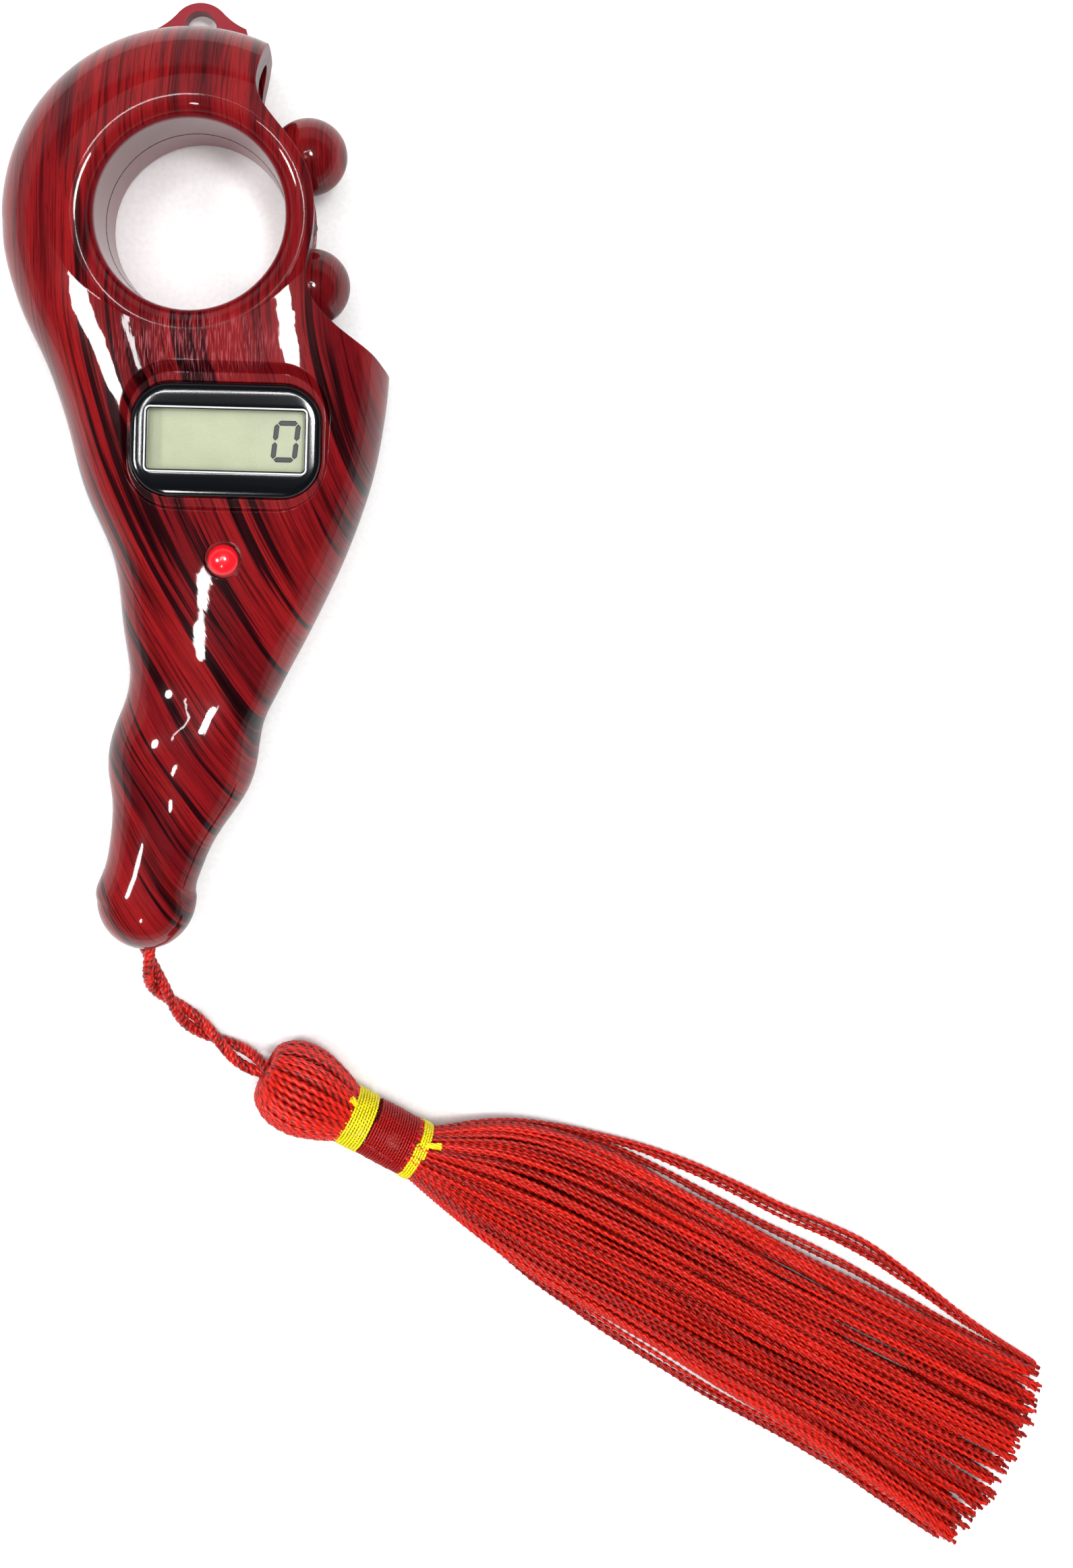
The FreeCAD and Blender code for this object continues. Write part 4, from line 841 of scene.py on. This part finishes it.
def rounded_outline(size, corner, per_corner=14, per_side=6):
    """Points round a rectangle with round corners."""
    w, h = size[0] / 2 - corner, size[1] / 2 - corner
    points = []
    for quarter, (sx, sy) in enumerate(((1, 1), (-1, 1), (-1, -1), (1, -1))):
        start = quarter * math.pi / 2
        for k in range(per_corner):
            a = start + k * math.pi / 2 / (per_corner - 1)
            points.append((sx * w + corner * math.cos(a), sy * h + corner * math.sin(a)))
        nx, ny = ((-1, 1), (-1, -1), (1, -1), (1, 1))[quarter]
        ahead = start + math.pi / 2
        end = (nx * w + corner * math.cos(ahead), ny * h + corner * math.sin(ahead))
        last = points[-1]
        for k in range(1, per_side):
            f = k / per_side
            points.append((last[0] + (end[0] - last[0]) * f, last[1] + (end[1] - last[1]) * f))
    return np.array(points)


def ring_faces(rows, count):
    """Faces between rows of points round a loop, the last row being joined to the first."""
    faces = []
    for row in range(rows):
        low, high = row * count, (row + 1) % rows * count
        for j in range(count):
            n = (j + 1) % count
            faces.append((low + j, low + n, high + n, high + j))
    return faces


def make_bezel(material):
    """Black domed border with a window opening, which stands for the printed lens."""
    outer = rounded_outline(LENS_SIZE, LENS_CORNER)
    inner = rounded_outline(OPENING_SIZE, OPENING_CORNER)
    rows = [
        (1.0, LENS_SEAT), (1.0, LENS_TOP - 1.2), (1.0, LENS_TOP - 0.75), (0.985, LENS_TOP - 0.5),
        (0.94, LENS_TOP - 0.3), (0.86, LENS_TOP - 0.16), (0.70, LENS_TOP - 0.07),
        (0.5, LENS_TOP - 0.03), (0.25, LENS_TOP - 0.01), (0.04, LENS_TOP), (0.0, LENS_TOP - 0.06),
        (-0.02, LENS_TOP - 0.3), (-0.02, LENS_SEAT),
    ]
    loops = []
    for share, z in rows:
        flat = inner + (outer - inner) * share
        loops.append(np.column_stack([flat, np.full(len(flat), z)]))
    points = at_display(np.concatenate(loops))
    faces = ring_faces(len(rows), len(outer))
    bezel = mesh_piece("display_bezel", points, faces, material)
    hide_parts("display_lens")


def make_frame_line(material):
    """Thin pale line printed round the window."""
    outer = rounded_outline(LINE_OUTER, LINE_OUTER_CORNER)
    inner = rounded_outline(LINE_INNER, LINE_INNER_CORNER)
    top = LENS_TOP + LINE_RISE
    low = top - LINE_THICKNESS
    rows = ((outer, low), (outer, top), (inner, top), (inner, low))
    loops = [np.column_stack([flat, np.full(len(flat), z)]) for flat, z in rows]
    points = at_display(np.concatenate(loops))
    faces = ring_faces(len(rows), len(outer))
    mesh_piece("window_line", points, faces, material)


def segment_outline(start, end, thick):
    """Six-cornered bar of a seven-segment digit."""
    a, b = np.array(start), np.array(end)
    along = (b - a) / np.linalg.norm(b - a)
    aside = np.array([-along[1], along[0]]) * thick / 2
    tip = along * thick / 2
    return [a, a + tip + aside, b - tip + aside, b, b - tip - aside, a + tip - aside]


def make_digit(material):
    """A slanted seven-segment zero near the display's right end."""
    left, right = DIGIT_PLACE - DIGIT_WIDTH / 2, DIGIT_WIDTH
    middle, top = DIGIT_HEIGHT / 2, DIGIT_HEIGHT
    bars = [
        ((0, top), (right, top)), ((0, 0), (right, 0)), ((0, top), (0, middle)),
        ((0, middle), (0, 0)), ((right, top), (right, middle)), ((right, middle), (right, 0)),
    ]
    points, faces = [], []
    for first, last in bars:
        a, b = np.array(first, float), np.array(last, float)
        along = (b - a) / np.linalg.norm(b - a)
        flat = segment_outline(a + along * BAR_GAP, b - along * BAR_GAP, BAR_THICKNESS)
        base = len(points)
        for z in (LCD_TOP + 0.005, LCD_TOP + 0.05):
            for x, y in flat:
                points.append((left + x + DIGIT_LEAN * (y - middle), y - middle, z))
        faces.append(tuple(base + 6 + k for k in range(5, -1, -1)))
        faces.append(tuple(base + k for k in range(6)))
        for k in range(6):
            n = (k + 1) % 6
            faces.append((base + k, base + k + 6, base + n + 6, base + n))
    digit = mesh_piece("lcd_digit", at_display(points), faces, material)
    digit.data.shade_flat()


# ---------------------------------------------------------------- seam in the finger bore

SEAM_HEIGHT, SEAM_WIDTH = 9.5, 0.14
SEAM_BURIED, SEAM_PROUD = 0.05, 0.03


def make_seam(material):
    """Thin dark ring where the two shells meet inside the finger bore, just proud of its wall."""
    turns = 96
    angle = np.arange(turns) * 2 * math.pi / turns
    half = SEAM_WIDTH / 2
    outer, inner = BORE_RADIUS + SEAM_BURIED, BORE_RADIUS - SEAM_PROUD
    loops = []
    for radius, z in ((outer, -half), (inner, -half), (inner, half), (outer, half)):
        loops.append(np.column_stack([
            BORE_PLACE[0] + radius * np.cos(angle), BORE_PLACE[1] + radius * np.sin(angle),
            np.full(turns, SEAM_HEIGHT + z),
        ]))
    seam = mesh_piece("bore_seam", np.concatenate(loops), ring_faces(len(loops), turns), material)
    seam.data.shade_flat()


# ---------------------------------------------------------------- materials on the CAD nodes

def paint_node(node, material):
    """One material on the whole of a CAD node."""
    mesh = nodes[node].data
    mesh.materials.clear()
    mesh.materials.append(material)


def paint_nodes():
    """Materials of all the CAD nodes that no Blender piece replaces."""
    shell = make_wood("ShellWood", 0.72, 3.0)
    for node in ("front_shell", "rear_shell"):
        paint_node(node, shell)
    for number in range(1, 7):
        wood = make_wood(f"BeadWood{number}", 0.2, 11.0 * number, stretch=1.6, plainness=0.06)
        paint_node(f"bead_{number}", wood)
    plain = {
        "bead_carrier": make_gloss_plastic("CarrierPlastic", (0.05, 0.012, 0.012), 0.45, 0.0),
        "click_spring": make_metal("SpringSteel", (0.62, 0.62, 0.60), 0.3, 6.0),
        "lcd_panel": make_lcd(),
        "contact_strip": make_gloss_plastic("StripRubber", (0.35, 0.12, 0.12), 0.6, 0.0),
        "circuit_board": make_gloss_plastic("BoardGreen", (0.01, 0.12, 0.03), 0.4, 0.4),
        "chip_blob": make_gloss_plastic("EpoxyBlack", (0.012, 0.012, 0.012), 0.35, 0.2),
        "reset_button": make_gloss_plastic("ButtonRed", (0.62, 0.006, 0.014), 0.2, 1.0, 0.03),
        "reset_dome": make_metal("DomeSteel", (0.7, 0.7, 0.68), 0.25, 1.0),
        "button_cell": make_metal("CellSteel", (0.72, 0.72, 0.72), 0.22, 1.0),
        "cell_contact_minus": make_metal("ContactMinus", (0.75, 0.68, 0.5), 0.3, 4.0),
        "cell_contact_plus": make_metal("ContactPlus", (0.75, 0.68, 0.5), 0.3, 4.0),
        "battery_door": make_gloss_plastic("DoorPlastic", (0.075, 0.006, 0.008), 0.35, 0.35),
        "door_screw": make_metal("DoorScrewSteel", (0.62, 0.62, 0.64), 0.3, 1.0),
        "case_screws": make_metal("CaseScrewSteel", (0.35, 0.35, 0.36), 0.35, 1.0),
    }
    for node, material in plain.items():
        paint_node(node, material)


def main():
    """The whole scene: camera, light, floor, materials, and the pieces that replace CAD nodes."""
    bpy.context.scene.view_settings.view_transform = "Standard"
    make_camera()
    make_lights()
    make_world()
    make_floor()
    paint_nodes()
    red = make_thread("SilkRed", (0.09, 0.001, 0.001), (0.78, 0.014, 0.004), (1.0, 0.35, 0.2))
    cord_red = make_thread("CordRed", (0.08, 0.001, 0.001), (0.60, 0.009, 0.003), (1.0, 0.3, 0.2))
    wound = make_thread("WoundRed", (0.10, 0.001, 0.001), (0.50, 0.004, 0.004), (1.0, 0.3, 0.3))
    yellow = make_thread("SilkYellow", (0.60, 0.47, 0.002), (0.95, 0.84, 0.008), (1.0, 1.0, 0.5))
    make_cord(cord_red)
    make_tassel(red, wound, yellow)
    make_bezel(make_gloss_plastic("LensBlack", (0.0015, 0.002, 0.003), 0.12, 0.5))
    make_frame_line(make_gloss_plastic("PrintWhite", (0.75, 0.77, 0.78), 0.4, 0.5))
    make_digit(make_gloss_plastic("SegmentInk", (0.008, 0.014, 0.016), 0.45, 0.0))
    dark = make_gloss_plastic("SeamDark", (0.012, 0.006, 0.007), 0.9, 0.0)
    dark.node_tree.nodes["Principled BSDF"].inputs["Specular IOR Level"].default_value = 0.05
    make_seam(dark)


main()
